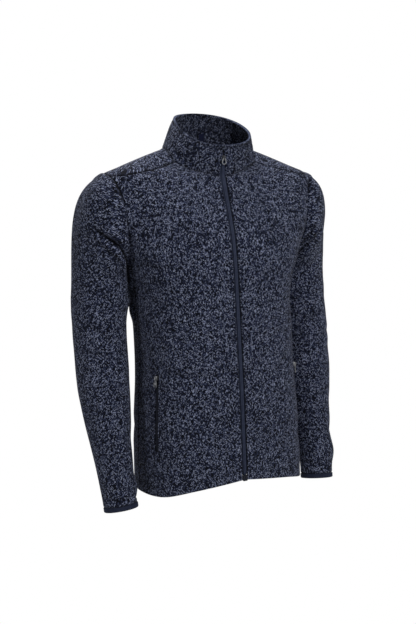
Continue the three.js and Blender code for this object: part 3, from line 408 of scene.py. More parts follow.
def back_edges(rows, columns):
    all_rows = SIDE_ROWS + SLEEVE_BACK_PARTS
    left = two_part_line(
        rows, SIDE_ROWS, all_rows,
        lambda f: line_places(SIDE_SEAM, f), lambda f: line_places(ARMHOLE_BACK, f))
    right = centre_back_places(rows / rows[-1])
    s = columns / columns[-1]
    top = two_part_line(
        columns, FRONT_COLUMNS, FRONT_COLUMNS + BACK_NECK_COLUMNS,
        lambda f: line_places(SHOULDER_SEAM[::-1], f), lambda f: line_places(NECK_BACK, f))
    return [line_places(HEM_LINE[3:], s), top, left, right]


def panel_places(make_edges, rows, columns, finer, more_rows=(), more_columns=()):
    """Places of a panel's mesh, with the row and column positions that they stand at."""
    coarse = coarse_panel(make_edges(np.arange(rows + 1.0), np.arange(columns + 1.0)), rows, columns)
    even_rows = np.linspace(0, rows, rows * finer + 1)
    even_columns = np.linspace(0, columns, columns * finer + 1)
    edges = make_edges(even_rows, even_columns)
    fine = fine_panel(coarse, edges, even_rows, even_columns)
    row_marks = cell_marks(rows, finer, more_rows)
    column_marks = cell_marks(columns, finer, more_columns)
    return sample_grid(fine, row_marks * finer, column_marks * finer), row_marks, column_marks


def line_at(points, normals, distance, value):
    """The line on a grid where a distance that grows along each row has a value."""
    line, up = [
        np.array([rows_at(value, d, row) for d, row in zip(distance, grid)])
        for grid in (points, normals)]
    return line, unit(up)


def turned(*grids):
    return [np.swapaxes(g, 0, 1) for g in grids]


# Folds and creases

def broad_fold_height(points, folds):
    height = np.zeros(points.shape[:-1])
    for start, end, width, size in folds:
        start = np.array(start, float)
        run = np.array(end, float) - start
        away = points - start
        t = np.clip(dot(away, run) / run.dot(run), 0, 1)
        distance = np.linalg.norm(away - t[..., None] * run, axis=-1)
        fade = 0.35 + 0.65 * np.sin(np.pi * np.clip(0.12 + 0.76 * t, 0, 1))
        height += size * fade * bell(distance, width)
    return height


CREASE_CORE = 0.55
CREASE_PARTS = 10
CREASE_FADES = (0.3, 0.38)
SHADED_CREASE = -2.4


def crease_lines(creases, lay, long_folds=()):
    """Lines of the creases, laid on their surface, with each one's other values.

    A crease is bowed between its two ends. A long fold passes several points and has the
    shares of its length over which it fades in and out.
    """
    t = np.linspace(0, 1, CREASE_PARTS + 1)
    laid = []
    for start, end, bow, width, size, ridge in creases:
        start = np.array(start, float)
        u = t[:, None]
        line = start + (np.array(end, float) - start) * u + np.array(bow, float) * 4 * u * (1 - u)
        laid.append((lay(line), width, size, ridge, CREASE_FADES))
    for path, width, size, ridge, fades in long_folds:
        path = np.array(path, float)
        length = lengths_along(path)
        laid.append((lay(rows_at(t * length[-1], length, path)), width, size, ridge, fades))
    return laid


def on_body(line):
    """The nearest points of the body surface, on whichever side the line is."""
    flip = np.ones_like(line)
    flip[line[:, 0] > 0, 0] = -1
    target = line * flip
    angle = np.degrees(np.arctan2(-target[:, 0], -target[:, 1]))
    places = nearest_on_body(target, np.stack([angle, target[:, 2]], axis=-1), SEARCH_STEPS)
    return body_points(places) * flip


def on_grid(points, normals):
    """Lays a line on a mesh grid, by moving it along the nearest point's direction."""
    flat_points = points.reshape(-1, 3)
    flat_normals = normals.reshape(-1, 3)

    def lay(line):
        away = np.linalg.norm(flat_points[None] - line[:, None], axis=-1)
        nearest = away.argmin(axis=1)
        up = flat_normals[nearest]
        return line - up * dot(line - flat_points[nearest], up)[:, None]

    return lay


def crease_place(points, line, fades):
    """Distance of each point from a crease, and how deep the crease is there, 0 to 1."""
    best = np.full(points.shape[:-1], 1e9)
    place = np.zeros(points.shape[:-1])
    for k in range(CREASE_PARTS):
        run = line[k + 1] - line[k]
        away = points - line[k]
        u = np.clip(dot(away, run) / run.dot(run), 0, 1)
        distance = np.linalg.norm(away - u[..., None] * run, axis=-1)
        closer = distance < best
        best = np.where(closer, distance, best)
        place = np.where(closer, (k + u) / CREASE_PARTS, place)
    return best, smooth(place / fades[0]) * smooth((1 - place) / fades[1])


def crease_height(points, creases):
    """How far creases move the cloth. A trough has a narrow core between soft slopes."""
    height = np.zeros(points.shape[:-1])
    for line, width, size, ridge, fades in creases:
        best, fade = crease_place(points, line, fades)
        wide = width * (0.65 + 0.35 * fade)
        core = CREASE_CORE if size < 0 else 0
        hollow = core * bell(best, 0.42 * wide) + (1 - core) * bell(best, 1.15 * wide)
        lips = bell(best - 2.0 * wide, 1.1 * wide)
        height += size * fade * (hollow - ridge * lips)
    return height


def crease_shade(points, creases):
    """Painted shade in the cores of the deeper creases only, 0 to 1."""
    shade = np.zeros(points.shape[:-1])
    for line, width, size, _, fades in creases:
        if size > SHADED_CREASE:
            continue
        best, fade = crease_place(points, line, fades)
        depth = min((-size - 1) / 6, 1)
        shade = np.maximum(shade, depth * smooth(1.6 * fade) * np.exp(-((best / (0.48 * width)) ** 4)))
    return shade


def mirror(points):
    return points * np.array([-1.0, 1.0, 1.0])


def seam_dip(distance, depth, ridge):
    """Cloth drawn in at a seam, with the allowance's soft ridge beside it."""
    return ridge * bell(distance - 5, 2.6) - depth * bell(distance, 1.5)


def distance_from_edges(points):
    """Distance of each grid point from the bottom, top, left and right edges."""
    bottom = lengths_along(points, 0)
    left = lengths_along(points, 1)
    return bottom, bottom[-1:] - bottom, left, left[:, -1:] - left


# Meshes

def grid_quads(first, rows, columns, tube):
    """Vertex numbers of the quads of a grid, and the grid places of their corners."""
    wide = columns if tube else columns - 1
    i, j = np.meshgrid(np.arange(rows - 1), np.arange(wide), indexing="ij")
    corners = [(i, j), (i, j + 1), (i + 1, j + 1), (i + 1, j)]
    numbers = np.stack([first + a * columns + b % columns for a, b in corners], axis=-1)
    places = np.stack([np.stack([a, b], axis=-1) for a, b in corners], axis=-2)
    return numbers.reshape(-1, 4), places.reshape(-1, 4, 2)


def border_loops(rows, columns, tube):
    """Grid places round the border, as closed loops."""
    if tube:
        around = np.arange(columns)
        return [
            np.stack([np.zeros(columns, int), around], axis=-1),
            np.stack([np.full(columns, rows - 1), around[::-1]], axis=-1),
        ]
    bottom = [(0, j) for j in range(columns)]
    right = [(i, columns - 1) for i in range(1, rows)]
    top = [(rows - 1, j) for j in range(columns - 2, -1, -1)]
    left = [(i, 0) for i in range(rows - 2, 0, -1)]
    return [np.array(bottom + right + top + left)]


def edge_outward(outer, normals, tube):
    """Direction at each border point that leads away from the sheet."""
    out = np.zeros_like(outer)
    out[0] += unit(outer[0] - outer[1])
    out[-1] += unit(outer[-1] - outer[-2])
    if not tube:
        out[:, 0] += unit(outer[:, 0] - outer[:, 1])
        out[:, -1] += unit(outer[:, -1] - outer[:, -2])
    out -= dot(out, normals)[..., None] * normals
    return unit(out)


def cloth_piece(name, slot, node, material, points, normals, wall, bulge, flat, tube=False, rim=3,
                painted_light=None, painted_light_inside=None):
    """Closed thin shell from its outer points, with rounded edges, that stands in for a node.

    Flat is the UV in metres. The painted light values darken the colour with painted shade, 0 to 1,
    or below 0 lighten it with a painted highlight. The inside takes the same values unless it has its
    own.
    """
    outer = points
    rows, columns = outer.shape[:2]
    bulge = np.broadcast_to(bulge, (rows, columns))
    inner = outer - normals * np.broadcast_to(wall, (rows, columns))[..., None]
    away = edge_outward(outer, normals, tube)
    points = [outer.reshape(-1, 3), inner.reshape(-1, 3)]
    quads, places = grid_quads(0, rows, columns, tube)
    inner_quads, _ = grid_quads(rows * columns, rows, columns, tube)
    faces = [quads, inner_quads[:, ::-1]]
    uv_places = [places, places[:, ::-1]]
    first = 2 * rows * columns
    painted_light = np.zeros((rows, columns)) if painted_light is None else painted_light
    inside = painted_light if painted_light_inside is None else painted_light_inside
    painted_light_map = [painted_light.reshape(-1), inside.reshape(-1)]
    for loop in border_loops(rows, columns, tube):
        i, j = loop.T
        start = outer[i, j]
        end = inner[i, j]
        for k in range(1, rim + 1):
            turn = math.pi * k / (rim + 1)
            middle = start + (end - start) * (1 - math.cos(turn)) / 2
            points.append(middle + away[i, j] * (bulge[i, j] * math.sin(turn))[:, None])
        count = len(loop)
        painted_light_map.append(np.tile(painted_light[i, j], rim))
        numbers = [i * columns + j]
        numbers += [first + k * count + np.arange(count) for k in range(rim)]
        numbers.append(rows * columns + i * columns + j)
        first += rim * count
        # Across a tube's seam, column 0 is also the column after the last
        here = loop.copy()
        follow = np.roll(loop, -1, axis=0)
        seam = np.abs(follow[:, 1] - here[:, 1]) > 1
        for place in (here, follow):
            place[seam & (place[:, 1] == 0), 1] = columns
        for a, b in zip(numbers[:-1], numbers[1:]):
            faces.append(np.stack([np.roll(a, -1), a, b, np.roll(b, -1)], axis=-1))
            uv_places.append(np.stack([follow, here, here, follow], axis=1))
    points = np.concatenate(points) * MM
    faces = np.concatenate(faces)
    uv_places = np.concatenate(uv_places)
    corner = points[faces[0]]
    facing = np.cross(corner[1] - corner[0], corner[3] - corner[0])
    if facing.dot(normals[0, 0]) < 0:
        faces = faces[:, ::-1]
        uv_places = uv_places[:, ::-1]
    uv = flat[uv_places[..., 0], np.minimum(uv_places[..., 1], flat.shape[1] - 1)]
    piece = add_mesh(name, points, faces, material, uv)
    # Painted shade and painted highlight values, read by the fleece material
    if material is FLEECE:
        layer = piece.data.attributes.new("painted_light_map", "FLOAT", "POINT")
        layer.data.foreach_set("value", np.concatenate(painted_light_map))
    finish_piece(piece, slot, node)


def pressed_pile_and_painted_shade(distance, reach=2.1):
    """Painted shade within reach of a seam, where the pile is also pressed flat."""
    return np.clip(bell(distance, reach), 0, 1)


def add_mesh(name, points, faces, material, uv=None):
    mesh = bpy.data.meshes.new(name)
    mesh.from_pydata(points.tolist(), [], faces.tolist())
    mesh.polygons.foreach_set("use_smooth", np.ones(len(mesh.polygons), bool))
    if uv is not None:
        layer = mesh.uv_layers.new(name="cloth")
        layer.data.foreach_set("uv", np.ascontiguousarray(uv.reshape(-1), float))
    mesh.update()
    mesh.materials.append(material)
    piece = bpy.data.objects.new(name, mesh)
    bpy.context.scene.collection.objects.link(piece)
    return piece


def finish_piece(piece, slot, *nodes, body="garment"):
    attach(piece, body)
    if nodes:
        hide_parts(*nodes)


def flat_cloth(points, tube=False):
    """The sheet laid flat, in metres, for the knit to follow."""
    closed = np.concatenate([points, points[:, :1]], axis=1) if tube else points
    along = lengths_along(closed)
    if tube:
        along -= along[-1:]
    steps = np.linalg.norm(np.diff(closed, axis=1), axis=-1)
    rise = np.diff(along, axis=1)
    across = np.sqrt(np.maximum(steps * steps - rise * rise, (0.3 * steps) ** 2))
    side = np.concatenate([np.zeros((closed.shape[0], 1)), np.cumsum(across, axis=1)], axis=1)
    middle = closed.shape[1] // 2
    side -= side[:, middle:middle + 1]
    return np.stack([side, along], axis=-1) * MM


# Shader groups and materials

class Signal:
    """A node's output. Arithmetic on it adds math nodes to its tree."""

    def __init__(self, tree, socket):
        self.tree = tree
        self.socket = socket

    def maths(self, operation, other=None):
        return add_node(self.tree, "Math", 0, {0: self, 1: other}, operation=operation)

    def __add__(self, other):
        return self.maths("ADD", other)

    def __sub__(self, other):
        return self.maths("SUBTRACT", other)

    def __mul__(self, other):
        return self.maths("MULTIPLY", other)

    def __pow__(self, other):
        return self.maths("POWER", other)


def feed(tree, socket, value):
    """Set a socket to a number or a colour, or link another node's output to it."""
    if isinstance(value, Signal):
        tree.links.new(value.socket, socket)
    elif isinstance(value, tuple):
        socket.default_value = (*value, 1)
    elif value is not None:
        socket.default_value = value


def add_node(tree, kind, output, inputs, **settings):
    """Add a node and return its output of that name or number."""
    node = tree.nodes.new("ShaderNode" + kind)
    for key, value in settings.items():
        setattr(node, key, value)
    for key, value in inputs.items():
        feed(tree, node.inputs[key], value)
    return Signal(tree, node.outputs[output])


def noise(place, scale, rough=0.5, detail=2.0, distortion=0.0):
    return add_node(place.tree, "TexNoise", "Fac", {
        "Vector": place, "Scale": scale, "Detail": detail, "Roughness": rough,
        "Distortion": distortion})


def axis(vector, number):
    return add_node(vector.tree, "SeparateXYZ", number, {0: vector})


def ramp(value, stops):
    node = value.tree.nodes.new("ShaderNodeValToRGB")
    while len(node.color_ramp.elements) < len(stops):
        node.color_ramp.elements.new(0.5)
    for element, (position, colour) in zip(node.color_ramp.elements, stops):
        element.position = position
        element.color = (*colour, 1)
    feed(value.tree, node.inputs["Fac"], value)
    return Signal(value.tree, node.outputs["Color"])


def blend(tree, factor, a, b):
    sockets = {"factor": 0, "a": 6, "b": 7, "result": 2}
    return add_node(
        tree, "Mix", sockets["result"],
        {sockets["factor"]: factor, sockets["a"]: a, sockets["b"]: b}, data_type="RGBA")


def srgb(*values):
    return tuple(((v / 255 + 0.055) / 1.055) ** 2.4 if v > 10 else v / 255 / 12.92 for v in values)


def node_group(name, inputs):
    """A new group and the values that come into it."""
    group = bpy.data.node_groups.new(name, "ShaderNodeTree")
    for label, kind, value in inputs:
        socket = group.interface.new_socket(label, in_out="INPUT", socket_type=kind)
        if value is not None:
            socket.default_value = value
    into = group.nodes.new("NodeGroupInput")
    return group, [Signal(group, into.outputs[label]) for label, _, _ in inputs]


def finish_group(group, **results):
    for label in results:
        group.interface.new_socket(label, in_out="OUTPUT", socket_type="NodeSocketFloat")
    out = group.nodes.new("NodeGroupOutput")
    for label, value in results.items():
        feed(group, out.inputs[label], value)
    return group


def use_group(tree, group, **inputs):
    node = tree.nodes.new("ShaderNodeGroup")
    node.node_tree = group
    for key, value in inputs.items():
        feed(tree, node.inputs[key], value)
    return Signal(tree, node.outputs["Shade"]), Signal(tree, node.outputs["Height"])


WALE = 0.0036
COURSE = 0.0014
STITCH_SLANT = 2.6


def knit_group():
    """Heathered knit: slanted stitch legs of marled yarn, with a brushed nap."""
    group, (flat, place) = node_group("heathered_knit", [
        ("Flat", "NodeSocketVector", None), ("Place", "NodeSocketVector", None)])
    drift = (noise(place, 90.0, 0.6) - 0.5) * 1.6 + (noise(place, 900.0, 0.6) - 0.5) * 0.6
    wale = axis(flat, 0) * (1 / WALE) + drift
    course = axis(flat, 1) * (1 / COURSE) + drift
    centred = (wale.maths("FRACT") - 0.5).maths("ABSOLUTE")
    slanted = course + centred * STITCH_SLANT
    legs = wale * 2.0
    key = add_node(group, "CombineXYZ", 0, {0: legs.maths("FLOOR"), 1: slanted.maths("FLOOR")})
    chance = add_node(group, "TexWhiteNoise", "Value", {"Vector": key}, noise_dimensions="2D")
    clouds = noise(place, 640.0, 0.6, distortion=0.4)
    patches = noise(place, 60.0)
    fibre = noise(place, 1500.0, 0.6)
    strand = (slanted.maths("FRACT") * math.pi).maths("SINE")
    leg = (legs.maths("FRACT") * math.pi).maths("SINE")
    return finish_group(
        group,
        Shade=clouds * 0.24 + chance * 0.6 + patches * 0.06 + fibre * 0.1,
        Height=strand * leg ** 0.5 * 0.6 + fibre * 0.5)


def woven_group():
    """Plain woven or ribbed tape: fine ribs and uneven yarn."""
    group, (place, ribs) = node_group("woven_tape", [
        ("Place", "NodeSocketVector", None), ("Ribs", "NodeSocketFloat", 1300.0)])
    ridges = (axis(place, 2) * ribs * math.pi).maths("SINE").maths("ABSOLUTE")
    yarn = noise(place, 1400.0, 0.6)
    cloud = noise(place, 160.0)
    return finish_group(group, Shade=yarn * 0.6 + cloud * 0.4, Height=ridges * 0.6 + yarn * 0.4)


def new_material(name):
    """A new material, its tree and its shader's inputs."""
    material = bpy.data.materials.new(name)
    material.use_nodes = True
    tree = material.node_tree
    return material, tree, tree.nodes["Principled BSDF"].inputs


def set_look(tree, inputs, values, height=None, strength=0, distance=0):
    """Set the shader's inputs and a bump of a strength and a distance."""
    for key, value in values.items():
        feed(tree, inputs[key], value)
    if height is not None:
        feed(tree, inputs["Normal"], add_node(
            tree, "Bump", 0, {"Height": height, "Strength": strength, "Distance": distance}))


def fleece_material(knit):
    material, tree, inputs = new_material("heathered fleece")
    shade, height = use_group(
        tree, knit, Flat=add_node(tree, "TexCoord", "UV", {}),
        Place=add_node(tree, "TexCoord", "Object", {}))
    colour = ramp(shade, [
        (0.27, srgb(2, 3, 10)),
        (0.43, srgb(14, 18, 34)),
        (0.57, srgb(34, 41, 66)),
        (0.68, srgb(88, 97, 132)),
        (0.76, srgb(186, 195, 226)),
    ])
    painted_light = add_node(tree, "Attribute", "Fac", {}, attribute_name="painted_light_map")
    # Painted shade: above 0 the painted light values darken the colour towards near black
    colour = blend(tree, painted_light * 0.88, colour, srgb(5, 6, 13))
    # Painted highlight: below 0, along the collar's top edge, the painted light values lighten the
    # colour
    colour = blend(tree, painted_light * -0.6, colour, srgb(128, 138, 172))
    set_look(tree, inputs, {
        "Base Color": colour, "Roughness": 0.95, "Sheen Weight": 0.06, "Sheen Roughness": 0.5,
        "Specular IOR Level": 0.2}, height, 0.6, 0.0006)
    return material


def woven_material(name, dark, light, ribs, roughness=0.85):
    material, tree, inputs = new_material(name)
    shade, height = use_group(
        tree, WOVEN, Ribs=ribs, Place=add_node(tree, "TexCoord", "Object", {}))
    colour = ramp(shade, [(0.3, dark), (0.72, light)])
    set_look(tree, inputs, {
        "Base Color": colour, "Roughness": roughness, "Specular IOR Level": 0.25},
        height, 0.5, 0.0003)
    return material


def metal_material(name, dark, light):
    material, tree, inputs = new_material(name)
    place = add_node(tree, "TexCoord", "Object", {})
    rub = noise(place, 900.0, 0.6, 3.0)
    colour = ramp(noise(place, 260.0), [(0.35, dark), (0.7, light)])
    rough = ramp(rub, [(0.3, (0.28, 0.28, 0.28)), (0.75, (0.48, 0.48, 0.48))])
    set_look(tree, inputs, {
        "Base Color": colour, "Roughness": rough, "Metallic": 1.0}, rub, 0.12, 0.0001)
    return material


FLEECE = fleece_material(knit_group())
WOVEN = woven_group()
BINDING = woven_material("cuff binding", srgb(30, 35, 54), srgb(58, 66, 92), 900.0)
TAPE = woven_material("zip tape", srgb(44, 51, 74), srgb(78, 87, 114), 1300.0, 0.6)
POCKET_TAPE_CLOTH = woven_material(
    "pocket zip tape", srgb(14, 17, 28), srgb(34, 39, 56), 1300.0, 0.7)
PATCH = woven_material("navy patch", srgb(10, 14, 40), srgb(24, 32, 68), 1600.0, 0.8)
THREAD = woven_material("navy thread", srgb(16, 19, 32), srgb(44, 50, 70), 2500.0, 0.7)
PLASTIC = woven_material("zip box plastic", srgb(16, 19, 30), srgb(30, 34, 50), 350.0, 0.5)
METAL = metal_material("gunmetal", (0.3, 0.31, 0.33), (0.54, 0.55, 0.57))
DARK_METAL = metal_material("dark slider metal", (0.05, 0.052, 0.06), (0.12, 0.124, 0.135))


# Panels

def plain_panel(places, side):
    points = body_points(places)
    return mirror(points) if side > 0 else points


def dressed_panel(places, side):
    """Points and normals of a panel on one side, with folds and creases, before its seams."""
    points = body_points(places)
    normals = body_normals(places)
    height = broad_fold_height(points, BROAD_BODY_FOLDS)
    if side > 0:
        points = mirror(points)
        normals = mirror(normals)
    height = height + crease_height(points, BODY_FOLDS)
    return points + normals * height[..., None], normals


# Creases: start, end, sideways bow, width, height, share of the ridges beside it
BODY_CREASES = [
    ((-168, 44, -272), (-165, 40, -366), (0, 0, 0), 20, 7.0, 0.0),
    ((168, 44, -272), (165, 40, -366), (0, 0, 0), 20, 7.0, 0.0),
    ((-181, -40, -238), (-136, -103, -260), (-6, -9, 13), 9, -3.2, 0.35),
    ((-172, -52, -262), (-128, -107, -300), (-4, -8, 4), 12, -2.0, 0.3),
    ((-214, -51, -70), (-150, -78, -84), (0, -2, 0), 14, -2.2, 0.2),
    ((-203, -68, -118), (-181, -81, -168), (0, -1, 0), 10, -2.0, 0.2),
    ((-155, -76, -444), (-13, -139, -452), (-17, -14, -5), 11, -2.6, 0.3),
    ((-152, -80, -402), (-128, -106, -408), (-2, -3, 0), 12, 1.8, 0.1),
    ((-125, -116, -511), (-78, -134, -541), (0, -3, 0), 14, -1.8, 0.25),
    ((-166, -20, -380), (-132, -106, -352), (-10, -10, 4), 13, -1.8, 0.2),
    ((-90, -112, -160), (-40, -118, -215), (0, -4, 0), 18, -1.5, 0.2),
    ((-62, -131, -330), (-20, -136, -300), (0, 0, 0), 16, 1.3, 0.1),
    ((-168, -30, -600), (-120, -116, -640), (-12, -12, 0), 18, -2.2, 0.2),
    ((9, -139, -443), (92, -128, -433), (0, -2, 22), 11, 2.4, 0.3),
    ((30, -139, -508), (126, -114, -488), (-4, -9, 8), 12, 2.0, 0.4),
    ((132, -106, -428), (60, -136, -468), (4, -6, 0), 12, -2.4, 0.3),
    ((110, -125, -555), (52, -138, -520), (2, -4, -2), 13, -2.0, 0.25),
    ((178, -44, -238), (134, -106, -290), (6, -9, 4), 10, -2.8, 0.35),
    ((96, -76, -62), (146, -86, -103), (2, -2, 6), 16, -1.8, 0.2),
    ((150, -84, -110), (128, -100, -150), (2, -3, 0), 13, -1.5, 0.2),
    ((60, -128, -250), (22, -130, -292), (0, 0, 0), 18, 1.4, 0.1),
    ((166, -30, -590), (118, -117, -628), (12, -12, 0), 20, -2.0, 0.2),
    ((-176, 42, -250), (-112, 108, -306), (-8, 12, 4), 12, -3.4, 0.3),
    ((174, 46, -258), (96, 116, -334), (8, 14, 4), 11, -3.8, 0.3),
    ((-168, 62, -300), (-128, 100, -352), (-4, 6, 0), 10, -2.2, 0.3),
    ((-152, 80, -424), (-34, 119, -456), (-14, 14, -4), 13, -3.2, 0.35),
    ((144, 84, -436), (14, 120, -474), (14, 12, -2), 12, -2.8, 0.35),
    ((-104, 108, -520), (34, 120, -504), (0, 4, -6), 14, -2.2, 0.3),
    ((58, 119, -556), (152, 80, -592), (8, 8, 0), 13, -2.4, 0.3),
    ((-124, 99, -468), (-30, 119, -494), (-6, 8, -8), 13, 2.2, 0.2),
    ((-36, 124, -190), (-22, 124, -330), (-6, 0, 0), 22, -1.8, 0.2),
    ((30, 124, -220), (14, 120, -380), (6, 0, 0), 24, 1.6, 0.2),
    ((-168, 14, -300), (-165, 12, -396), (2, 0, 0), 16, -2.6, 0.2),
    ((169, 8, -320), (166, 16, -430), (-2, 0, 0), 14, -2.2, 0.2),
    ((-170, 30, -560), (-150, 84, -610), (-4, 6, 0), 14, -2.0, 0.2),
]
SLEEVE_CREASES = {
    "right": [
        ((-267, -28, -172), (-196, -40, -240), (-8, -13, 5), 7, -3.4, 0.4),
        ((-270, -12, -225), (-205, -20, -278), (-12, -13, 9), 9, -2.8, 0.3),
        ((-268, 88, -160), (-196, 78, -240), (-8, 18, 8), 10, -4.5, 0.4),
        ((-275, 84, -214), (-204, 84, -282), (-12, 12, 6), 9, -3.2, 0.35),
        ((-286, 6, -340), (-216, -22, -396), (-4, -15, 3), 9, -3.6, 0.35),
        ((-290, 16, -408), (-222, -26, -426), (-9, -17, 9), 9, -3.4, 0.35),
        ((-278, 66, -352), (-204, 82, -372), (-10, 18, 6), 11, -3.0, 0.3),
        ((-284, 60, -420), (-206, 66, -440), (-10, 20, -4), 10, -3.2, 0.35),
        ((-286, -8, -516), (-232, -38, -520), (-7, -11, -6), 9, -2.6, 0.3),
        ((-282, 34, -500), (-206, 44, -488), (-8, 18, 0), 11, -2.4, 0.3),
        ((-226, -41, -554), (-216, -48, -628), (0, -1, 0), 9, 1.8, 0.2),
        ((-280, 16, -566), (-214, 30, -584), (-4, 14, 0), 10, -2.2, 0.3),
        ((-270, -26, -664), (-218, -60, -672), (-8, -15, 0), 8, 2.6, 0.2),
        ((-267, -32, -698), (-203, -52, -696), (-6, -22, -3), 5.5, -2.8, 0.5),
        ((-204, -60, -684), (-196, -6, -684), (6, 0, 0), 12, 4.0, 0.0),
        ((-206, -64, -706), (-196, -10, -706), (6, 0, 0), 5, -2.4, 0.0),
        ((-266, 0, -668), (-204, 4, -674), (-4, 12, 0), 8, 2.2, 0.2),
        ((-264, -8, -698), (-204, -10, -700), (-2, 16, -3), 6, -2.4, 0.4),
        ((-180, 30, -272), (-181, 34, -326), (0, 0, 0), 22, 6.5, 0.0),
    ],
    "left": [
        ((194, -42, -216), (230, -66, -158), (-4, -8, 0), 8, -4.6, 0.4),
        ((262, -30, -158), (206, -44, -214), (6, -16, 4), 9, -3.4, 0.35),
        ((268, -10, -222), (206, -22, -272), (10, -14, 6), 9, -2.8, 0.3),
        ((270, 86, -166), (198, 80, -250), (8, 18, 6), 11, -4.2, 0.4),
        ((276, 80, -226), (206, 86, -290), (12, 12, 4), 9, -3.0, 0.35),
        ((204, -15, -382), (266, -18, -360), (0, -11, 4), 9, -3.8, 0.35),
        ((286, 20, -404), (220, -24, -430), (8, -16, 6), 9, -2.8, 0.3),
        ((280, 62, -360), (206, 80, -386), (10, 18, 4), 11, -3.2, 0.3),
        ((284, 54, -430), (208, 62, -446), (10, 20, 0), 10, -3.0, 0.35),
        ((200, -27, -553), (262, -34, -538), (0, -11, 3), 9, -3.6, 0.35),
        ((282, 30, -506), (208, 42, -500), (8, 18, 0), 10, -2.4, 0.3),
        ((262, -42, -624), (271, 18, -618), (10, 0, 0), 12, -2.6, 0.2),
        ((252, -66, -672), (262, 26, -668), (14, -4, 0), 22, 5.5, 0.0),
        ((198, -26, -622), (256, -44, -619), (0, -16, 0), 9, -2.4, 0.3),
        ((198, -33, -690), (262, -36, -694), (0, -22, -2), 6, -2.8, 0.4),
        ((266, 0, -664), (206, 4, -670), (4, 12, 0), 8, 2.4, 0.2),
        ((264, -8, -696), (204, -10, -699), (2, 16, -3), 6, -2.4, 0.4),
        ((180, 30, -272), (181, 34, -326), (0, 0, 0), 22, 6.0, 0.0),
    ],
}

# Long folds: points, width, height, share of the ridges, shares where they fade in and out
ARMPIT_FOLDS = {
    "right": [
        ([(-264, -26, -150), (-253, -36, -162), (-237, -50, -178), (-220, -63, -195), (-205, -53, -209),
          (-194, -40, -222), (-187, -25, -242), (-181, -8, -264), (-178, 2, -282)],
         7.0, -9.0, 0.5, (0.22, 0.12)),
    ],
    "left": [
        ([(258, -34, -160), (240, -50, -176), (222, -62, -194), (206, -53, -208), (195, -40, -221),
          (187, -25, -241), (181, -8, -262)],
         7.5, -5.0, 0.4, (0.4, 0.15)),
    ],
}
BODY_FOLDS = crease_lines(BODY_CREASES, on_body)


# Seams: reach of the painted shade and the pressed pile, how deep they lie, and the stitches' distance
# from the zip
SHOULDER_REACH = 3.2
SHOULDER_DEPTH = 2.1
NECK_DEPTH = 0.7
ARMHOLE_REACH = 2.6
ZIP_STITCH = 5.0


def armhole_depth(z):
    """How far the armhole seam draws the cloth in: most at the shoulder and at the armpit."""
    return 0.5 + 0.9 * smooth((z + 135) / 60) + 0.9 * smooth((-208 - z) / 35)


# How strongly painted shade and pressed pile darken the armhole seam, most at the shoulder and at the
# armpit
def armhole_painted_shade(z):
    return 0.1 + 0.9 * smooth((z + 135) / 55) + 0.75 * smooth((-210 - z) / 25)


# Extra columns and rows of the front's mesh round the pocket zip
COLUMN_WIDTH = 21
POCKET_STITCH = 7.6
POCKET_COLUMNS = np.concatenate([
    np.linspace(0, POCKET_HALF, 4)[1:],
    np.linspace(POCKET_HALF, POCKET_HALF + POCKET_EDGE, 4)[1:],
    [6.2, POCKET_STITCH, 10]]) / COLUMN_WIDTH
front_places, front_rows, front_columns = panel_places(
    front_edges, SIDE_ROWS + ARMHOLE_ROWS, FRONT_COLUMNS, FRONT_FINER,
    [r + d for r in POCKET_ROWS for d in (-0.1, -0.05, -0.02, 0.02, 0.05)],
    np.concatenate([POCKET_COLUMN - POCKET_COLUMNS, [POCKET_COLUMN], POCKET_COLUMN + POCKET_COLUMNS]))
back_places = panel_places(
    back_edges, SIDE_ROWS + SLEEVE_BACK_PARTS, FRONT_COLUMNS + BACK_NECK_COLUMNS, BACK_FINER)[0]

# Threads

STITCH_PITCH = 3.4
STITCH_SHARE = 0.78
# Each stitch is a thread of three rings: place along it, height, half thickness
STITCH_RINGS = [(0, -0.15, 0.14), (0.5, 0.16, 0.3), (1, -0.15, 0.14)]
RING_POINTS = 4


def stitches(name, lines, slot="fleece"):
    """Rows of small stitches along lines given by points and outward directions."""
    blocks = []
    for line, up in lines:
        length = lengths_along(line)
        count = max(1, int(length[-1] / STITCH_PITCH))
        pitch = length[-1] / count
        starts = np.arange(count) * pitch + pitch * (1 - STITCH_SHARE) / 2
        spots = [starts + share * pitch * STITCH_SHARE for share, _, _ in STITCH_RINGS]
        places = [rows_at(at, length, line) for at in spots]
        run = unit(places[-1] - places[0])
        rings = []
        for at, place, (_, lift, thick) in zip(spots, places, STITCH_RINGS):
            rise = unit(rows_at(at, length, up))
            across = unit(np.cross(run, rise))
            middle = place + rise * lift
            rings.append(np.stack([middle + r * thick for r in (across, rise, -across, -rise)], axis=1))
        blocks.append(np.stack(rings, axis=1).reshape(-1, 3))
    quads = [(0, 1, 2, 3), (11, 10, 9, 8)]
    for first in (0, RING_POINTS):
        for a in range(RING_POINTS):
            b = (a + 1) % RING_POINTS
            quads.append((first + b, first + a, first + a + RING_POINTS, first + b + RING_POINTS))
    points = np.concatenate(blocks)
    whole = RING_POINTS * len(STITCH_RINGS)
    base = whole * np.arange(len(points) // whole)[:, None, None]
    piece = add_mesh(name, points * MM, (base + np.array(quads)).reshape(-1, 4), THREAD)
    finish_piece(piece, slot)


def pocket_field(points, row_marks, column_marks):
    """Distance across and along the pocket zip at each grid point, and the zip's length."""
    bottom, _, left, _ = distance_from_edges(points)
    middle = np.array([np.interp(POCKET_COLUMN, column_marks, line) for line in left])
    rise = np.array([np.interp(POCKET_COLUMN, column_marks, line) for line in bottom])
    start, end = np.interp(POCKET_ROWS, row_marks, rise)
    return left - middle[:, None], bottom - start, end - start


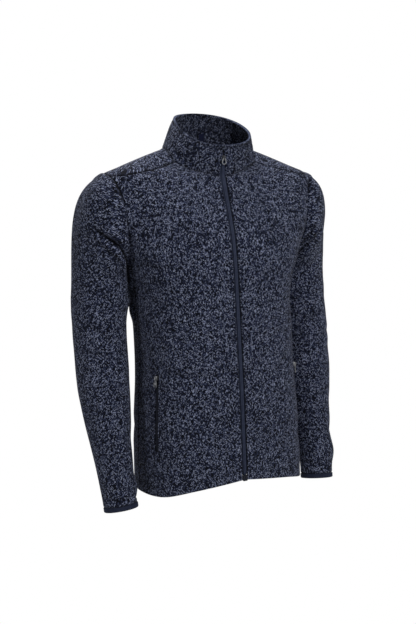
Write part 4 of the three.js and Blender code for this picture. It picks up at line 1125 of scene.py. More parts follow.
def pocket_relief(across, along, length):
    """Height of the cloth drawn in under the pocket zip, with a soft lip, and distance from it."""
    apart = np.abs(across)
    beyond = np.maximum(np.maximum(-along, along - length), 0)
    inside = smooth((POCKET_HALF + POCKET_EDGE - apart) / POCKET_EDGE)
    inside *= smooth((POCKET_EDGE - beyond) / POCKET_EDGE)
    distance = np.hypot(np.maximum(apart - POCKET_HALF, 0), beyond)
    return 0.55 * bell(distance - 2.2, 1.2) * (1 - inside) - POCKET_DEPTH * inside, distance


HEM_STITCH_ROWS = (19.5, 22.5)
# A distance, in millimetres, at which a seam no longer shows
FAR = 99.0


def hem_groove(bottom):
    return -0.32 * sum(bell(bottom - d, 1.1) for d in HEM_STITCH_ROWS)


def hem_lines(points, normals, bottom):
    return [line_at(*turned(points, normals, bottom), d) for d in HEM_STITCH_ROWS]


def panel_wall(bottom):
    return CLOTH_WALL + (HEM_WALL - CLOTH_WALL) * smooth((HEM_DEPTH - bottom) / 1.5 + 1)


def front_piece(side, label):
    points, normals = dressed_panel(front_places, side)
    bottom, top, left, right = distance_from_edges(points)
    flat = flat_cloth(points)
    neck = front_rows > SIDE_ROWS + ARMHOLE_ROWS - NECK_ROWS
    from_neck = np.where(neck[:, None], left, FAR)
    from_zip = np.where(neck[:, None], FAR, left)
    height = points[..., 2]
    across, along, length = pocket_field(points, front_rows, front_columns)
    pocket_lift, from_pocket = pocket_relief(across, along, length)
    lift = seam_dip(right, armhole_depth(height), 0.4) + seam_dip(top, SHOULDER_DEPTH, 1.1)
    lift += seam_dip(from_neck, NECK_DEPTH, 0.25) * smooth(top / 3)
    lift -= 0.35 * bell(from_zip - ZIP_STITCH, 1.1)
    lift += hem_groove(bottom)
    lift += pocket_lift
    points = points + normals * lift[..., None]
    bulge = np.full(bottom.shape, SEWN_BULGE)
    bulge[0] = HEM_BULGE
    bulge[:, 0] = np.where(neck, SEWN_BULGE, ZIP_BULGE)
    # Painted shade, with pressed pile, along the armhole, shoulder and neck seams, by the zip and round
    # the pocket's opening, and painted shade in the deeper creases
    painted_light = armhole_painted_shade(height) * pressed_pile_and_painted_shade(right, ARMHOLE_REACH)
    painted_light += pressed_pile_and_painted_shade(top, SHOULDER_REACH)
    painted_light += 0.8 * pressed_pile_and_painted_shade(from_zip, 1.1)
    painted_light += 0.25 * pressed_pile_and_painted_shade(from_neck)
    painted_light += pressed_pile_and_painted_shade(from_pocket, 1.3)
    painted_light += crease_shade(plain_panel(front_places, side), BODY_FOLDS)
    cloth_piece(
        "front_%s_cloth" % label, "fleece", "front_%s" % label, FLEECE,
        points, normals, panel_wall(bottom), bulge, flat, painted_light=np.clip(painted_light, 0, 1))
    lines = [line_at(points[~neck], normals[~neck], left[~neck], ZIP_STITCH)]
    lines += hem_lines(points, normals, bottom)
    inside = (along[:, 0] > -1) & (along[:, 0] < length + 1)
    for d in (-POCKET_STITCH, POCKET_STITCH):
        lines.append(line_at(points[inside], normals[inside], across[inside], d))
    stitches("front_%s_stitches" % label, lines)
    pocket_tape(side, label)


def both_sides(right, left):
    """A line or grid of both sides, that share their last column at the centre back."""
    return np.concatenate([right, left[..., -2::-1, :]], axis=-2)


def shoulder_corner():
    return abs(body_points(np.array([SHOULDER_SEAM[0]], float))[0, 0])


def neck_depth(edge):
    """How far the body's upper edge is drawn in: less at the neck than at the shoulders."""
    inside = smooth((shoulder_corner() - np.abs(edge[:, 0])) / 3)
    behind = smooth((edge[:, 1] + 52) / 6)
    return NECK_DEPTH + (SHOULDER_DEPTH - NECK_DEPTH) * (1 - np.maximum(inside, 1 - behind))


def back_piece():
    points, normals = [both_sides(*pair) for pair in zip(
        dressed_panel(back_places, -1), dressed_panel(back_places, 1))]
    base = both_sides(plain_panel(back_places, -1), plain_panel(back_places, 1))
    bottom, top, left, right = distance_from_edges(points)
    flat = flat_cloth(points)
    sides = np.minimum(left, right)
    height = points[..., 2]
    lift = seam_dip(sides, armhole_depth(height), 0.4) + seam_dip(top, neck_depth(points[-1]), 0.6)
    lift += hem_groove(bottom)
    points = points + normals * lift[..., None]
    bulge = np.full(bottom.shape, SEWN_BULGE)
    bulge[0] = HEM_BULGE
    # Painted shade, with pressed pile, along the armhole seams and the top edge, and painted shade in
    # the deeper creases
    painted_light = armhole_painted_shade(height) * pressed_pile_and_painted_shade(sides, ARMHOLE_REACH)
    painted_light += pressed_pile_and_painted_shade(top, SHOULDER_REACH)
    painted_light += crease_shade(base, BODY_FOLDS)
    cloth_piece(
        "back_cloth", "fleece", "back", FLEECE,
        points, normals, panel_wall(bottom), bulge, flat, painted_light=np.clip(painted_light, 0, 1))
    stitches("back_stitches", hem_lines(points, normals, bottom))


# Pocket zips: a covered coil between two flat edges, set in the front's opening. The profile
# is distance across and height.

POCKET_TAPE = [
    (-3.9, -1.7), (-2.5, -1.65), (-2.1, -1.3), (-1.8, -0.6), (-1.1, -0.3), (-0.18, -0.33),
    (0, -0.6), (0.18, -0.33), (1.1, -0.3), (1.8, -0.6), (2.1, -1.3), (2.5, -1.65), (3.9, -1.7),
]
POCKET_TAPE_WALL = 0.45


def pocket_tape(side, label):
    rows = np.linspace(POCKET_ROWS[0] + 0.02, POCKET_ROWS[1] - 0.02, 80)
    profile = np.array(POCKET_TAPE)
    columns = POCKET_COLUMN + profile[:, 0] / COLUMN_WIDTH
    at_rows = np.interp(rows, front_rows, np.arange(len(front_rows)))
    at_columns = np.interp(columns, front_columns, np.arange(len(front_columns)))
    points, normals = dressed_panel(sample_grid(front_places, at_rows, at_columns), side)
    points = points + normals * profile[None, :, 1:2]
    cloth_piece(
        "pocket_zip_%s_tape" % label, "zip_tape", "pocket_zip_%s" % label, POCKET_TAPE_CLOTH,
        points, normals, POCKET_TAPE_WALL, 0.1, flat_cloth(points))


# Front zip: each tape has a raised covered coil by the centre and runs under the cloth's edge.
# The profile is distance from the centre and depth behind the front.

TAPE_PROFILE = [
    (0.1, 1.7), (0.2, 0.95), (0.5, 0.6), (1.1, 0.42), (1.9, 0.42), (2.5, 0.6), (2.9, 1.2),
    (3.15, 2.4), (3.4, 3.1), (4.4, 3.3), (5.6, 3.3), (7.0, 3.2), (8.0, 3.1),
]
TAPE_TOP = -31
TAPE_END = -664
TAPE_STEP = 4.0
TAPE_WALL = 0.7


def body_front_y(z):
    """How far forward the body or the closed collar is on the centre line."""
    y = body_points(np.stack([np.zeros_like(z), z], axis=-1))[..., 1]
    neck = body_points(np.array([0.0, ZIP_HEAD]))[1]
    lean = (COLLAR_FRONT_Y - neck) / (COLLAR_FRONT_Z - ZIP_HEAD)
    return np.where(z > ZIP_HEAD, neck + lean * (z - ZIP_HEAD), y)


def zip_tape(side, label):
    z = np.linspace(TAPE_END, TAPE_TOP, int((TAPE_TOP - TAPE_END) / TAPE_STEP))
    y = body_front_y(z)
    profile = np.array(TAPE_PROFILE)
    half = table_curve(ZIP_OPENING, 1, z)
    widen = (half - ZIP_HALF)[:, None] * smooth((profile[None, :, 0] - 3) / 2)
    narrowed = np.minimum(half / ZIP_HALF, 1)[:, None]
    x = side * (profile[None, :, 0] * narrowed + widen)
    y = y[:, None] + profile[None, :, 1]
    points = np.stack([x, y, np.broadcast_to(z[:, None], x.shape)], axis=-1)
    if side > 0:
        points = points[:, ::-1]
    normals = np.broadcast_to(np.array([0.0, -1.0, 0.0]), points.shape)
    cloth_piece(
        "zip_tape_%s_strip" % label, "zip_tape", "zip_tape_%s" % label, TAPE,
        points, normals, TAPE_WALL, 0.05, flat_cloth(points))


# Sleeves

def armhole_points(side):
    """The closed armhole line: down the front from the shoulder seam, then up the back."""
    down = np.linspace(1, 0, SLEEVE_FRONT_PARTS * SLEEVE_FINER + 1)[:-1]
    up = np.linspace(0, 1, SLEEVE_BACK_PARTS * SLEEVE_FINER + 1)[:-1]
    places = np.concatenate([line_places(ARMHOLE_FRONT, down), line_places(ARMHOLE_BACK, up)])
    return dressed_panel(places, side)


def sleeve_angles():
    front = SLEEVE_FRONT_PARTS * SLEEVE_FINER
    back = SLEEVE_BACK_PARTS * SLEEVE_FINER
    span = SLEEVE_UNDER_ANGLE - SLEEVE_FRONT_SEAM_ANGLE
    first = SLEEVE_FRONT_SEAM_ANGLE + span * np.arange(front) / front
    end = SLEEVE_FRONT_SEAM_ANGLE + 360
    second = SLEEVE_UNDER_ANGLE + (end - SLEEVE_UNDER_ANGLE) * np.arange(back) / back
    return np.radians(np.concatenate([first, second]))


def ring_lines(side, heights):
    """Rings of the sleeve below its head, each with its frame, for ring positions."""
    table = np.column_stack([np.arange(len(SLEEVE_RINGS)), SLEEVE_RINGS])
    last = len(SLEEVE_RINGS) - 1
    turn = np.array([side, 1.0, 1.0])
    centres = [np.stack([
        table_curve(table, k, np.clip(heights + d, 0, last)) for k in (1, 2, 3)], axis=-1) * turn
        for d in (-0.6, 0, 0.6)]
    down = unit(centres[2] - centres[0])
    outward = unit(np.array([side, 0.0, 0.0]) - side * down[:, :1] * down)
    forward = np.array([0.0, -1.0, 0.0]) + down[:, 1:2] * down
    forward = unit(forward - dot(forward, outward)[:, None] * outward)
    across = table_curve(table, 4, heights)
    deep = table_curve(table, 5, heights)
    angles = sleeve_angles()
    lines = (centres[1][:, None]
             + outward[:, None] * (across[:, None] * np.cos(angles))[..., None]
             + forward[:, None] * (deep[:, None] * np.sin(angles))[..., None])
    return lines, down


def leaving_direction(points, side):
    """The way the sleeve leaves the armhole: down at the armpit, outward at the shoulder."""
    height = smooth((points[:, 2] - UNDERARM) / (SHOULDER_TOP - UNDERARM))
    x = side * (0.3 + 0.63 * height)
    z = 0.59 * height - 0.95
    y = points[:, 1] * (0.2 + height * (1 - height)) / 75
    return unit(np.stack([x, y, z], axis=-1))


def tube_normals(lines, side):
    along = np.gradient(lines, axis=0)
    around = np.roll(lines, -1, axis=1) - np.roll(lines, 1, axis=1)
    return unit(np.cross(along, around)) * -side


def sleeve_lines(side):
    """Rings of points from the armhole to the cuff, and the number of the head's last ring."""
    start, _ = armhole_points(side)
    rings, down = ring_lines(side, np.array([0.0]))
    end = rings[0]
    span = np.linalg.norm(end - start, axis=-1)[:, None]
    first = start + leaving_direction(start, side) * span * 0.3
    last = end - down[0] * span * 0.42
    steps = np.unique(np.concatenate([np.linspace(0, 1, 81), [0.004, 0.008, 0.018]]))
    t = steps[:, None, None]
    head = ((1 - t) ** 3 * start + 3 * t * (1 - t) ** 2 * first
            + 3 * t * t * (1 - t) * last + t ** 3 * end)
    last_ring = len(SLEEVE_RINGS) - 1
    heights = np.linspace(0, last_ring, last_ring * 13 + 1)[1:]
    heights = np.unique(np.concatenate([heights, [last_ring - 0.02, last_ring - 0.045]]))
    arm, _ = ring_lines(side, heights)
    return np.concatenate([head, arm]), len(steps) - 1


def sleeve_piece(side, label):
    lines, head_rows = sleeve_lines(side)
    normals = tube_normals(lines, side)
    row = np.arange(len(lines))
    base = mirror(lines) if side > 0 else lines
    height = smooth(row / (0.3 * head_rows))[:, None] * broad_fold_height(base, BROAD_SLEEVE_FOLDS)
    folds = crease_lines(SLEEVE_CREASES[label], on_grid(lines, normals), ARMPIT_FOLDS[label])
    from_seam = lengths_along(lines)
    from_cuff = from_seam[-1:] - from_seam
    height += smooth(from_seam / 5) * crease_height(lines, folds)
    height += seam_dip(from_seam, 0, 0.45) + seam_dip(from_cuff, 1.1, 0.5)
    shoulder = smooth((lines[:1, :, 2] + 130) / 65)
    height += shoulder * 2.8 * bell(from_seam - 7, 5) * smooth(from_seam / 3)
    points = lines + normals * height[..., None]
    # At the seam the cloth is drawn in with the body's edge, so that the two stay together
    seam_height = lines[:1, :, 2]
    drawn = seam_dip(from_seam, armhole_depth(seam_height), 0)
    points += armhole_points(side)[1] * drawn[..., None]
    # Painted shade, with pressed pile, along the armhole seam and by the cuff, and painted shade in the
    # deeper creases
    painted_light = armhole_painted_shade(seam_height) * pressed_pile_and_painted_shade(from_seam, ARMHOLE_REACH)
    painted_light += pressed_pile_and_painted_shade(from_cuff)
    painted_light += crease_shade(lines, folds)
    cloth_piece(
        "sleeve_%s_cloth" % label, "fleece", "sleeve_%s" % label, FLEECE, points, normals,
        CLOTH_WALL, SEWN_BULGE, flat_cloth(lines, tube=True), tube=True, painted_light=np.clip(painted_light, 0, 1))


# Rounds of the cuff binding: distance along it, how far it stands out, wall
BINDING_STEPS = [
    (0.1, -0.2, 2.6), (0.5, 0.5, 3.2), (1.3, 0.95, 3.6), (3.2, 1.1, 3.7), (5.2, 1.15, 3.7),
    (7.2, 1.1, 3.6), (8.7, 0.9, 3.2), (9.4, 0.4, 2.4),
]


def cuff_binding_piece(side, label):
    last = float(len(SLEEVE_RINGS) - 1)
    rings, down = ring_lines(side, np.array([last]))
    outward = unit(rings[0] - rings[0].mean(axis=0))
    points = np.stack([rings[0] + outward * grow + down[0] * along for along, grow, _ in BINDING_STEPS])
    normals = np.broadcast_to(outward, points.shape)
    wall = np.array([step[2] for step in BINDING_STEPS])[:, None]
    cloth_piece(
        "cuff_binding_%s_band" % label, "cuff_binding", "cuff_binding_%s" % label, BINDING,
        points, normals, wall, 0.3, flat_cloth(points, tube=True), tube=True)
    line = np.concatenate([points[2], points[2][:1]])
    up = np.concatenate([normals[2], normals[2][:1]])
    stitches("cuff_%s_stitches" % label, [(line, up)], "cuff_binding")


# Collar

def neck_line(side):
    """Neck edge of one side, from the zip edge to the centre back."""
    front = line_places(neck_front_line(), np.linspace(0, 1, 29))
    back = line_places(NECK_BACK, np.linspace(0, 1, 61))
    places = np.concatenate([front, back[1:]])
    return dressed_panel(places, side)


def collar_top_points(fraction):
    turn = np.pi * (1 - fraction) * 2 - np.pi
    middle = (COLLAR_FRONT_Y + COLLAR_BACK_Y) / 2
    reach = (COLLAR_BACK_Y - COLLAR_FRONT_Y) / 2
    square = COLLAR_SQUARENESS
    y = middle + reach * (np.cos(turn) - square * np.cos(3 * turn)) / (1 - square)
    rise = (y - COLLAR_FRONT_Y) / (COLLAR_BACK_Y - COLLAR_FRONT_Y)
    z = COLLAR_FRONT_Z + (COLLAR_BACK_Z - COLLAR_FRONT_Z) * rise
    across = (np.sin(turn) + square * np.sin(3 * turn)) / (1 - square)
    x = -COLLAR_HALF * across
    side = np.sin(np.pi * rise)
    return np.stack([x + COLLAR_LEAN * side, y, z + COLLAR_LIFT * side * smooth(-x / 60)], axis=-1)


def outward_level(lines):
    """Directions that lead level away from the collar's middle, not yet of unit length."""
    away = lines + np.array([0, 20.0, 0])
    away[..., 2] = 0
    return away


def collar_lines():
    """Rows from the neck to the top edge, their shares, and the body's directions at the neck."""
    base, up = [both_sides(*pair) for pair in zip(neck_line(-1), neck_line(1))]
    length = lengths_along(base)
    fraction = length / length[-1]
    end = collar_top_points(fraction)
    steps = np.unique(np.concatenate([np.linspace(0, 1, 25), [0.008, 0.018, 0.985]]))
    t = steps[:, None, None]
    lines = base * (1 - t) + end * t
    outward = unit(outward_level(lines))
    bow = COLLAR_BOW * np.sin(np.pi * t[..., 0]) * np.sin(np.pi * fraction)
    lines = lines + outward * bow[..., None]
    half = table_curve(ZIP_OPENING, 1, lines[..., 2])
    near = np.minimum(length, length[-1] - length)
    pull = np.clip(1 - near / 26, 0, 1) ** 2
    sign = np.where(length < length[-1] / 2, -1.0, 1.0)
    gap_right = -half[:, :1] - lines[:, :1, 0]
    gap_left = half[:, -1:] - lines[:, -1:, 0]
    lines[..., 0] += np.where(sign < 0, gap_right, gap_left) * pull
    return lines, steps, up


COLLAR_CREASES = [
    ((-84, -42, 14), (-54, -71, -25), (-2, -5, 2), 6, -2.6, 0.4),
    ((-93, -28, 2), (-61, -62, -45), (-4, -8, 0), 7, -2.2, 0.35),
    ((-58, -60, 12), (-30, -80, -10), (0, -4, 0), 7, -1.2, 0.3),
    ((84, -34, 20), (54, -68, -22), (3, -6, 0), 7, -2.0, 0.35),
    ((88, -10, 30), (64, -56, -30), (6, -6, 0), 8, -1.6, 0.3),
    ((-80, 20, 50), (-92, 24, 8), (-2, 2, 0), 9, -1.6, 0.3),
    ((64, 42, 52), (74, 44, 12), (2, 2, 0), 9, -1.8, 0.3),
    ((-20, 58, 60), (-34, 60, 8), (0, 2, 0), 10, -1.4, 0.25),
]
COLLAR_STITCH = 5.6


def collar_surface():
    """Outer points, directions, walls, distances from the seam and from the top, row shares."""
    lines, steps, up = collar_lines()
    normals = unit(np.cross(np.gradient(lines, axis=0), np.gradient(lines, axis=1)))
    normals *= np.sign(dot(normals, outward_level(lines)))[..., None]
    height = crease_height(lines, crease_lines(COLLAR_CREASES, on_grid(lines, normals)))
    bottom, top, left, right = distance_from_edges(lines)
    near_zip = smooth((90 - np.minimum(left, right)) / 40)
    height += (1 - 0.55 * near_zip) * seam_dip(bottom, 0, 0.35)
    groove = bell(top - COLLAR_STITCH, 1.2)
    height -= 0.6 * groove
    points = lines + normals * height[..., None]
    # At the seam the cloth is drawn in with the body's edge, so that the two stay together
    at_shoulder = bell(np.abs(lines[0, :, 0]) - shoulder_corner(), 2) * (lines[0, :, 1] > -62)
    depth = NECK_DEPTH + (SHOULDER_DEPTH - NECK_DEPTH) * at_shoulder
    points += up * seam_dip(bottom, depth, 0)[..., None]
    points[-1] -= unit(points[-1] - points[-2]) * 1.3
    wall = COLLAR_WALL - 0.8 * groove
    return points, normals, wall, bottom, top, steps


def collar_piece():
    points, normals, wall, bottom, top, _ = collar_surface()
    bulge = np.full(top.shape, 0.1)
    bulge[-1] = 1.5
    bulge[:, [0, -1]] = 0.4
    # Painted highlight along the top edge; painted shade over the outside below it, along the neck seam
    # and in the stitch groove; darker painted shade over the inside
    painted_rim_highlight = bell(top, 1.6)
    painted_light = 0.2 * smooth((top - 2) / 3) + 0.4 * pressed_pile_and_painted_shade(bottom)
    painted_light += 0.7 * pressed_pile_and_painted_shade(top - COLLAR_STITCH, 1.5)
    cloth_piece(
        "collar_cloth", "fleece", "collar", FLEECE, points, normals, wall, bulge,
        flat_cloth(points), rim=5, painted_light=np.clip(painted_light, 0, 1) - painted_rim_highlight,
        painted_light_inside=0.5 * smooth((top - 1.2) / 2) - painted_rim_highlight)
    outside = line_at(*turned(points[::-1], normals[::-1], top[::-1]), COLLAR_STITCH)
    inner = points - normals * wall[..., None]
    inside = line_at(*turned(inner[::-1], -normals[::-1], top[::-1]), COLLAR_STITCH)
    stitches("collar_stitches", [outside, inside])


PATCH_SHARES = (0.27, 0.46)
PATCH_AROUND = (0.515, 0.5345)


def neck_patch_piece():
    """Small plain patch sewn inside the collar."""
    points, normals, wall, _, _, steps = collar_surface()
    inner = points - normals * wall[..., None]
    length = lengths_along(points[0])
    rows = np.interp(np.linspace(*PATCH_SHARES, 9), steps, np.arange(len(steps)))
    around = np.linspace(*PATCH_AROUND, 9) * length[-1]
    columns = np.interp(around, length, np.arange(len(length)))
    base = sample_grid(inner, rows, columns)
    out = -unit(sample_grid(normals, rows, columns))
    patch = base + out * 0.95
    cloth_piece(
        "neck_patch_cloth", "neck_patch", "neck_patch", PATCH, patch, out, 0.7, 0.2,
        flat_cloth(patch))
    loop = [(1, k) for k in range(1, 8)] + [(k, 7) for k in range(2, 8)]
    loop += [(7, k) for k in range(6, 0, -1)] + [(k, 1) for k in range(6, 0, -1)]
    i, j = np.array(loop).T
    stitches("neck_patch_stitches", [(patch[i, j], out[i, j])], "neck_patch")


# Hard pieces. Each is modelled in its own axes in millimetres, X across the zip, Y along it
# and Z away from the cloth, with the hinge line at HINGE_HIGH, then set in its place.

HINGE_HIGH = 3.3
# A point on the hinge line, the way along the zip, the way out from the cloth
HINGES = {
    "front": ((0, -90.34, -27.64), (0, -0.176, 0.984), (0, -0.984, -0.176)),
    "pocket_right": ((-159.36, -73.74, -461.42), (0.051, 0.016, 0.999), (-0.929, -0.366, 0.053)),
    "pocket_left": ((159.36, -73.74, -461.42), (-0.051, 0.016, 0.999), (0.929, -0.366, 0.053)),
}


def only(piece):
    bpy.ops.object.select_all(action="DESELECT")
    piece.select_set(True)
    bpy.context.view_layer.objects.active = piece


def take_shape(name):
    """Name the shape just added and take its place and size into its points."""
    bpy.ops.object.transform_apply(location=True, rotation=True, scale=True)
    bpy.context.object.name = name
    return bpy.context.object


def block(name, low, high):
    """A box between two corners."""
    size = [b - a for a, b in zip(low, high)]
    middle = [(a + b) / 2 * MM for a, b in zip(low, high)]
    bpy.ops.mesh.primitive_cube_add(size=MM, location=middle, scale=size)
    return take_shape(name)


def rod(name, middle, radius, depth, steps):
    bpy.ops.mesh.primitive_cylinder_add(
        vertices=steps, radius=radius * MM, depth=depth * MM, location=[v * MM for v in middle])
    return take_shape(name)


def edit_parts(piece, kind, test, tool, **values):
    """Use a mesh tool on the corners or edges whose middle passes a test in millimetres."""
    bpy.ops.object.mode_set(mode="EDIT")
    bpy.ops.mesh.select_mode(type=kind)
    bpy.ops.mesh.select_all(action="DESELECT")
    shape = bmesh.from_edit_mesh(piece.data)
    for part in shape.verts if kind == "VERT" else shape.edges:
        middle = part.co if kind == "VERT" else (part.verts[0].co + part.verts[1].co) / 2
        if test(middle / MM):
            part.select_set(True)
    shape.select_flush_mode()
    bmesh.update_edit_mesh(piece.data)
    tool(**values)
    bpy.ops.object.mode_set(mode="OBJECT")


def narrow(piece, test, share):
    edit_parts(
        piece, "VERT", test, bpy.ops.transform.resize, value=(share, 1, 1), center_override=(0, 0, 0))


def round_edges(piece, test, width, segments=5):
    edit_parts(
        piece, "EDGE", test, bpy.ops.mesh.bevel, offset=width * MM, segments=segments, affect="EDGES")


def apply_tool(piece, kind, **values):
    tool = piece.modifiers.new("tool", kind)
    for key, value in values.items():
        setattr(tool, key, value)
    only(piece)
    bpy.ops.object.modifier_apply(modifier=tool.name)


def carve(piece, tool, operation="DIFFERENCE"):
    apply_tool(piece, "BOOLEAN", operation=operation, object=tool, solver="EXACT")
    bpy.data.objects.remove(tool)


def finish_hard(piece, material, width, segments=2):
    """Round off a hard piece's edges and give it its material."""
    apply_tool(
        piece, "BEVEL", width=width * MM, segments=segments, limit_method="ANGLE",
        angle_limit=math.radians(35))
    bpy.ops.object.shade_smooth_by_angle(angle=math.radians(50))
    piece.data.materials.clear()
    piece.data.materials.append(material)
    return piece


def axes_matrix(across, up, out, place):
    matrix = Matrix((across, up, out)).transposed().to_4x4()
    matrix.translation = place
    return matrix


def set_in_place(piece, hinge):
    point, up, out = (Vector(v) for v in hinge)
    out.normalize()
    up = (up - out * up.dot(out)).normalized()
    piece.matrix_world = axes_matrix(up.cross(out), up, out, (point - out * HINGE_HIGH) * MM)
    only(piece)
    bpy.ops.object.transform_apply(location=True, rotation=True, scale=True)


def slider_plate(low, high):
    """A plate with a narrow lower end and round corners."""
    plate = block("plate", (-3.8, -5, low), (3.8, 5, high))
    narrow(plate, lambda p: p.y < 0, 0.72)
    round_edges(plate, lambda p: abs(p.z - (low + high) / 2) < 0.01, 1.9)
    return plate


def slider_body(name, sunk, material):
    """Two plates on a wedge, with a bridge over the upper plate for the pull tab."""
    body = slider_plate(0.9, 2.2)
    body.name = name
    carve(body, slider_plate(-sunk, 0.3 - sunk * 0.4), "UNION")
    carve(body, block("wedge", (-1.0, 0.4, -sunk + 0.1), (1.0, 4.6, 1.2)), "UNION")
    bridge = block("bridge", (-1.1, -3.6, 1.9), (1.1, 3.6, 5.5))
    round_edges(bridge, lambda p: p.z > 5.4 and abs(p.y) > 3.5, 1.7)
    carve(bridge, block("slot", (-2, -2.5, 2.25), (2, 2.5, 4.41)))
    carve(body, bridge, "UNION")
    for side in (-1, 1):
        carve(body, block("throat", (side * 2.2 - 0.5, -6, 0.2), (side * 2.2 + 0.5, 6, 0.9)))
    return finish_hard(body, material, 0.22)


# Pull tabs: half their depth, the width and end of the neck above the hinge line, and how
# far a cutter reaches beyond the tab's middle
PULL_HALF_DEPTH = 0.6
PULL_NECK_WIDTH = 5.6
PULL_END = 0.65
THROUGH = 1.5


def pull_blank(name, wide, long, neck_end):
    """A tab with straight sides at its neck and one round end, and that end's centre."""
    half = wide / 2
    middle = half - long
    low, high = HINGE_HIGH - PULL_HALF_DEPTH, HINGE_HIGH + PULL_HALF_DEPTH
    tab = rod(name, (0, middle, HINGE_HIGH), half, high - low, 48)
    neck = block(
        "neck", (-PULL_NECK_WIDTH / 2, middle, low), (PULL_NECK_WIDTH / 2, PULL_END, high))
    carve(tab, neck, "UNION")
    shoulder = block("shoulder", (-half, middle, low), (half, -neck_end - 0.9, high))
    narrow(shoulder, lambda p: p.y > middle + 0.01, 0.78)
    carve(tab, shoulder, "UNION")
    return tab, middle


def front_pull_tab():
    """An open loop that hangs from the bridge."""
    tab, middle = pull_blank("loop", 9.6, 12.5, 0.5)
    radius = 3.3
    hole = rod("hole", (0, middle, HINGE_HIGH), radius, 2 * THROUGH, 48)
    wedge = block(
        "wedge", (-radius, middle, HINGE_HIGH - THROUGH), (radius, -PULL_END, HINGE_HIGH + THROUGH))
    narrow(wedge, lambda p: p.y > middle + 0.01, 1.5 / radius)
    carve(hole, wedge, "UNION")
    carve(tab, hole)
    return finish_hard(tab, METAL, 0.26, 3)


def pocket_pull_tab():
    """A flat tab with a window under its cross bar and a round hole in its lower end."""
    tab, middle = pull_blank("pocket_pull", 9.5, 19, 5.2)
    high = HINGE_HIGH + THROUGH
    carve(tab, block("window", (-1.5, -5.2, HINGE_HIGH - THROUGH), (1.5, -PULL_END, high)))
    carve(tab, rod("hole", (0, middle, HINGE_HIGH), 1.8, 2 * THROUGH, 32))
    carve(tab, block("waist", (-1.2, -9.5, HINGE_HIGH + 0.35), (1.2, -6.6, high)))
    return finish_hard(tab, METAL, 0.26, 3)


def place_hard(piece, name, node, hinge, body="garment"):
    """Set a copy of a hard piece in its place."""
    twin = piece.copy()
    twin.data = piece.data.copy()
    twin.name = name
    bpy.context.scene.collection.objects.link(twin)
    set_in_place(twin, HINGES[hinge])
    finish_piece(twin, "zip_metal", node, body=body)


def metal_pieces():
    shapes = [
        slider_body("slider", 1.6, DARK_METAL), front_pull_tab(),
        slider_body("pocket_slider", 2.3, METAL), pocket_pull_tab()]
    slider, pull, pocket_slider, pocket_pull = shapes
    place_hard(slider, "front_slider_body", "front_slider", "front")
    place_hard(pull, "front_pull_loop", "front_pull", "front", "front_pull")
    for label in ("right", "left"):
        hinge = "pocket_" + label
        place_hard(pocket_slider, "pocket_slider_%s_body" % label, "pocket_slider_" + label, hinge)
        node = "pocket_pull_" + label
        place_hard(pocket_pull, "pocket_pull_%s_tab" % label, node, hinge, node)
    for shape in shapes:
        bpy.data.objects.remove(shape)


def zip_box_piece():
    """The box at the zip's lower end: a block with a slit where the pin goes in."""
    y = body_front_y(np.array([float(TAPE_END)]))[0] + 0.6
    top, low = TAPE_END - 0.3, TAPE_END - 12.3
    box = block("zip_box_block", (-4.75, y - 2.1, low), (4.75, y + 2.1, top))
    round_edges(box, lambda p: p.z < low + 0.1 and abs(p.x) > 4.7, 1.4, 4)
    carve(box, block("slit", (-0.35, y - 3, -672), (0.35, y - 1.3, -660)))
    carve(box, block("step", (-5.5, y - 3, -666.2), (5.5, y - 1.5, -660)))
    finish_hard(box, PLASTIC, 0.3)
    finish_piece(box, "zip_tape", "zip_box")


for side, label in ((-1, "right"), (1, "left")):
    front_piece(side, label)
    sleeve_piece(side, label)
    cuff_binding_piece(side, label)
    zip_tape(side, label)
back_piece()
collar_piece()
neck_patch_piece()
metal_pieces()
zip_box_piece()
bpy.ops.object.select_all(action="DESELECT")


# Floor, light and camera

FLOOR_HEIGHT = -1.5
FLOOR_RADIUS = 0.55


def add_floor():
    bpy.ops.mesh.primitive_circle_add(
        vertices=64, radius=FLOOR_RADIUS, fill_type="NGON", location=(0, 0, FLOOR_HEIGHT))
    floor = bpy.context.object
    floor.name = "floor"
    material, tree, inputs = new_material("pale floor")
    set_look(tree, inputs, {"Base Color": (0.9, 0.9, 0.9), "Roughness": 0.95})
    floor.data.materials.append(material)
    floor.select_set(False)


def add_light(name, place, aim, size, power):
    light = bpy.data.lights.new(name, "AREA")
    light.shape = "DISK"
    light.size = size
    light.energy = power
    lamp = bpy.data.objects.new(name, light)
    lamp.location = place
    lamp.rotation_euler = (Vector(aim) - Vector(place)).to_track_quat("-Z", "Y").to_euler()
    bpy.context.scene.collection.objects.link(lamp)


WORLD_LIGHT = 0.12
GLOSSY_SHARE = 0.45


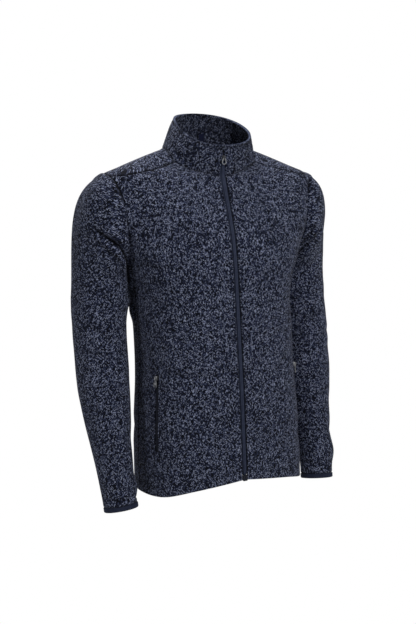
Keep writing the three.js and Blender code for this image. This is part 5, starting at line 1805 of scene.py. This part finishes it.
def add_world():
    """Seen as pure white, but it lights the jacket softly."""
    world = bpy.data.worlds.new("soft white")
    world.use_nodes = True
    tree = world.node_tree
    soft = add_node(tree, "Background", 0, {"Color": (0.96, 0.98, 1), "Strength": WORLD_LIGHT})
    seen = add_node(tree, "Background", 0, {"Color": (1, 1, 1), "Strength": 1.0})
    shiny = add_node(tree, "LightPath", "Is Glossy Ray", {}) * GLOSSY_SHARE
    direct = add_node(tree, "LightPath", "Is Camera Ray", {}).maths("MAXIMUM", shiny)
    mixed = add_node(tree, "MixShader", 0, {0: direct, 1: soft, 2: seen})
    feed(tree, tree.nodes["World Output"].inputs["Surface"], mixed)
    bpy.context.scene.world = world


CAMERA_TURN = 0.412654
CAMERA_DISTANCE = 1.89741
CAMERA_DROP = 0.0966644
CAMERA_ROLL = -0.0330814
CAMERA_SHIFT = -0.00666800
CAMERA_HEIGHT = -0.343898
CAMERA_SENSOR = 36
CAMERA_LENS = 890.4037 * CAMERA_SENSOR / 624


def add_camera():
    turn = -CAMERA_TURN
    back = Vector((
        math.sin(turn) * math.cos(CAMERA_DROP),
        -math.cos(turn) * math.cos(CAMERA_DROP),
        math.sin(CAMERA_DROP)))
    right = Vector((math.cos(turn), math.sin(turn), 0))
    up = back.cross(right)
    place = Vector((0, 0, CAMERA_HEIGHT)) + right * CAMERA_SHIFT + back * CAMERA_DISTANCE
    across = right * math.cos(CAMERA_ROLL) + up * math.sin(CAMERA_ROLL)
    above = up * math.cos(CAMERA_ROLL) - right * math.sin(CAMERA_ROLL)
    lens = bpy.data.cameras.new("camera")
    lens.sensor_fit = "VERTICAL"
    lens.sensor_height = CAMERA_SENSOR
    lens.lens = CAMERA_LENS
    lens.dof.use_dof = False
    camera = bpy.data.objects.new("camera", lens)
    camera.matrix_world = axes_matrix(across, above, back, place)
    bpy.context.scene.collection.objects.link(camera)
    bpy.context.scene.camera = camera


add_floor()
add_world()
add_light("key", (0.7, -2.8, 1.2), (0, 0, -0.35), 0.5, 32)
add_light("side", (-3.0, -0.5, 0.0), (0, 0, -0.4), 0.6, 8)
add_light("top", (-0.3, 0.5, 2.4), (0, 0, -0.3), 0.6, 24)
add_light("back", (0.8, 2.6, 1.0), (0, 0, -0.35), 1.2, 26)
bpy.context.scene.view_settings.view_transform = "Standard"
add_camera()
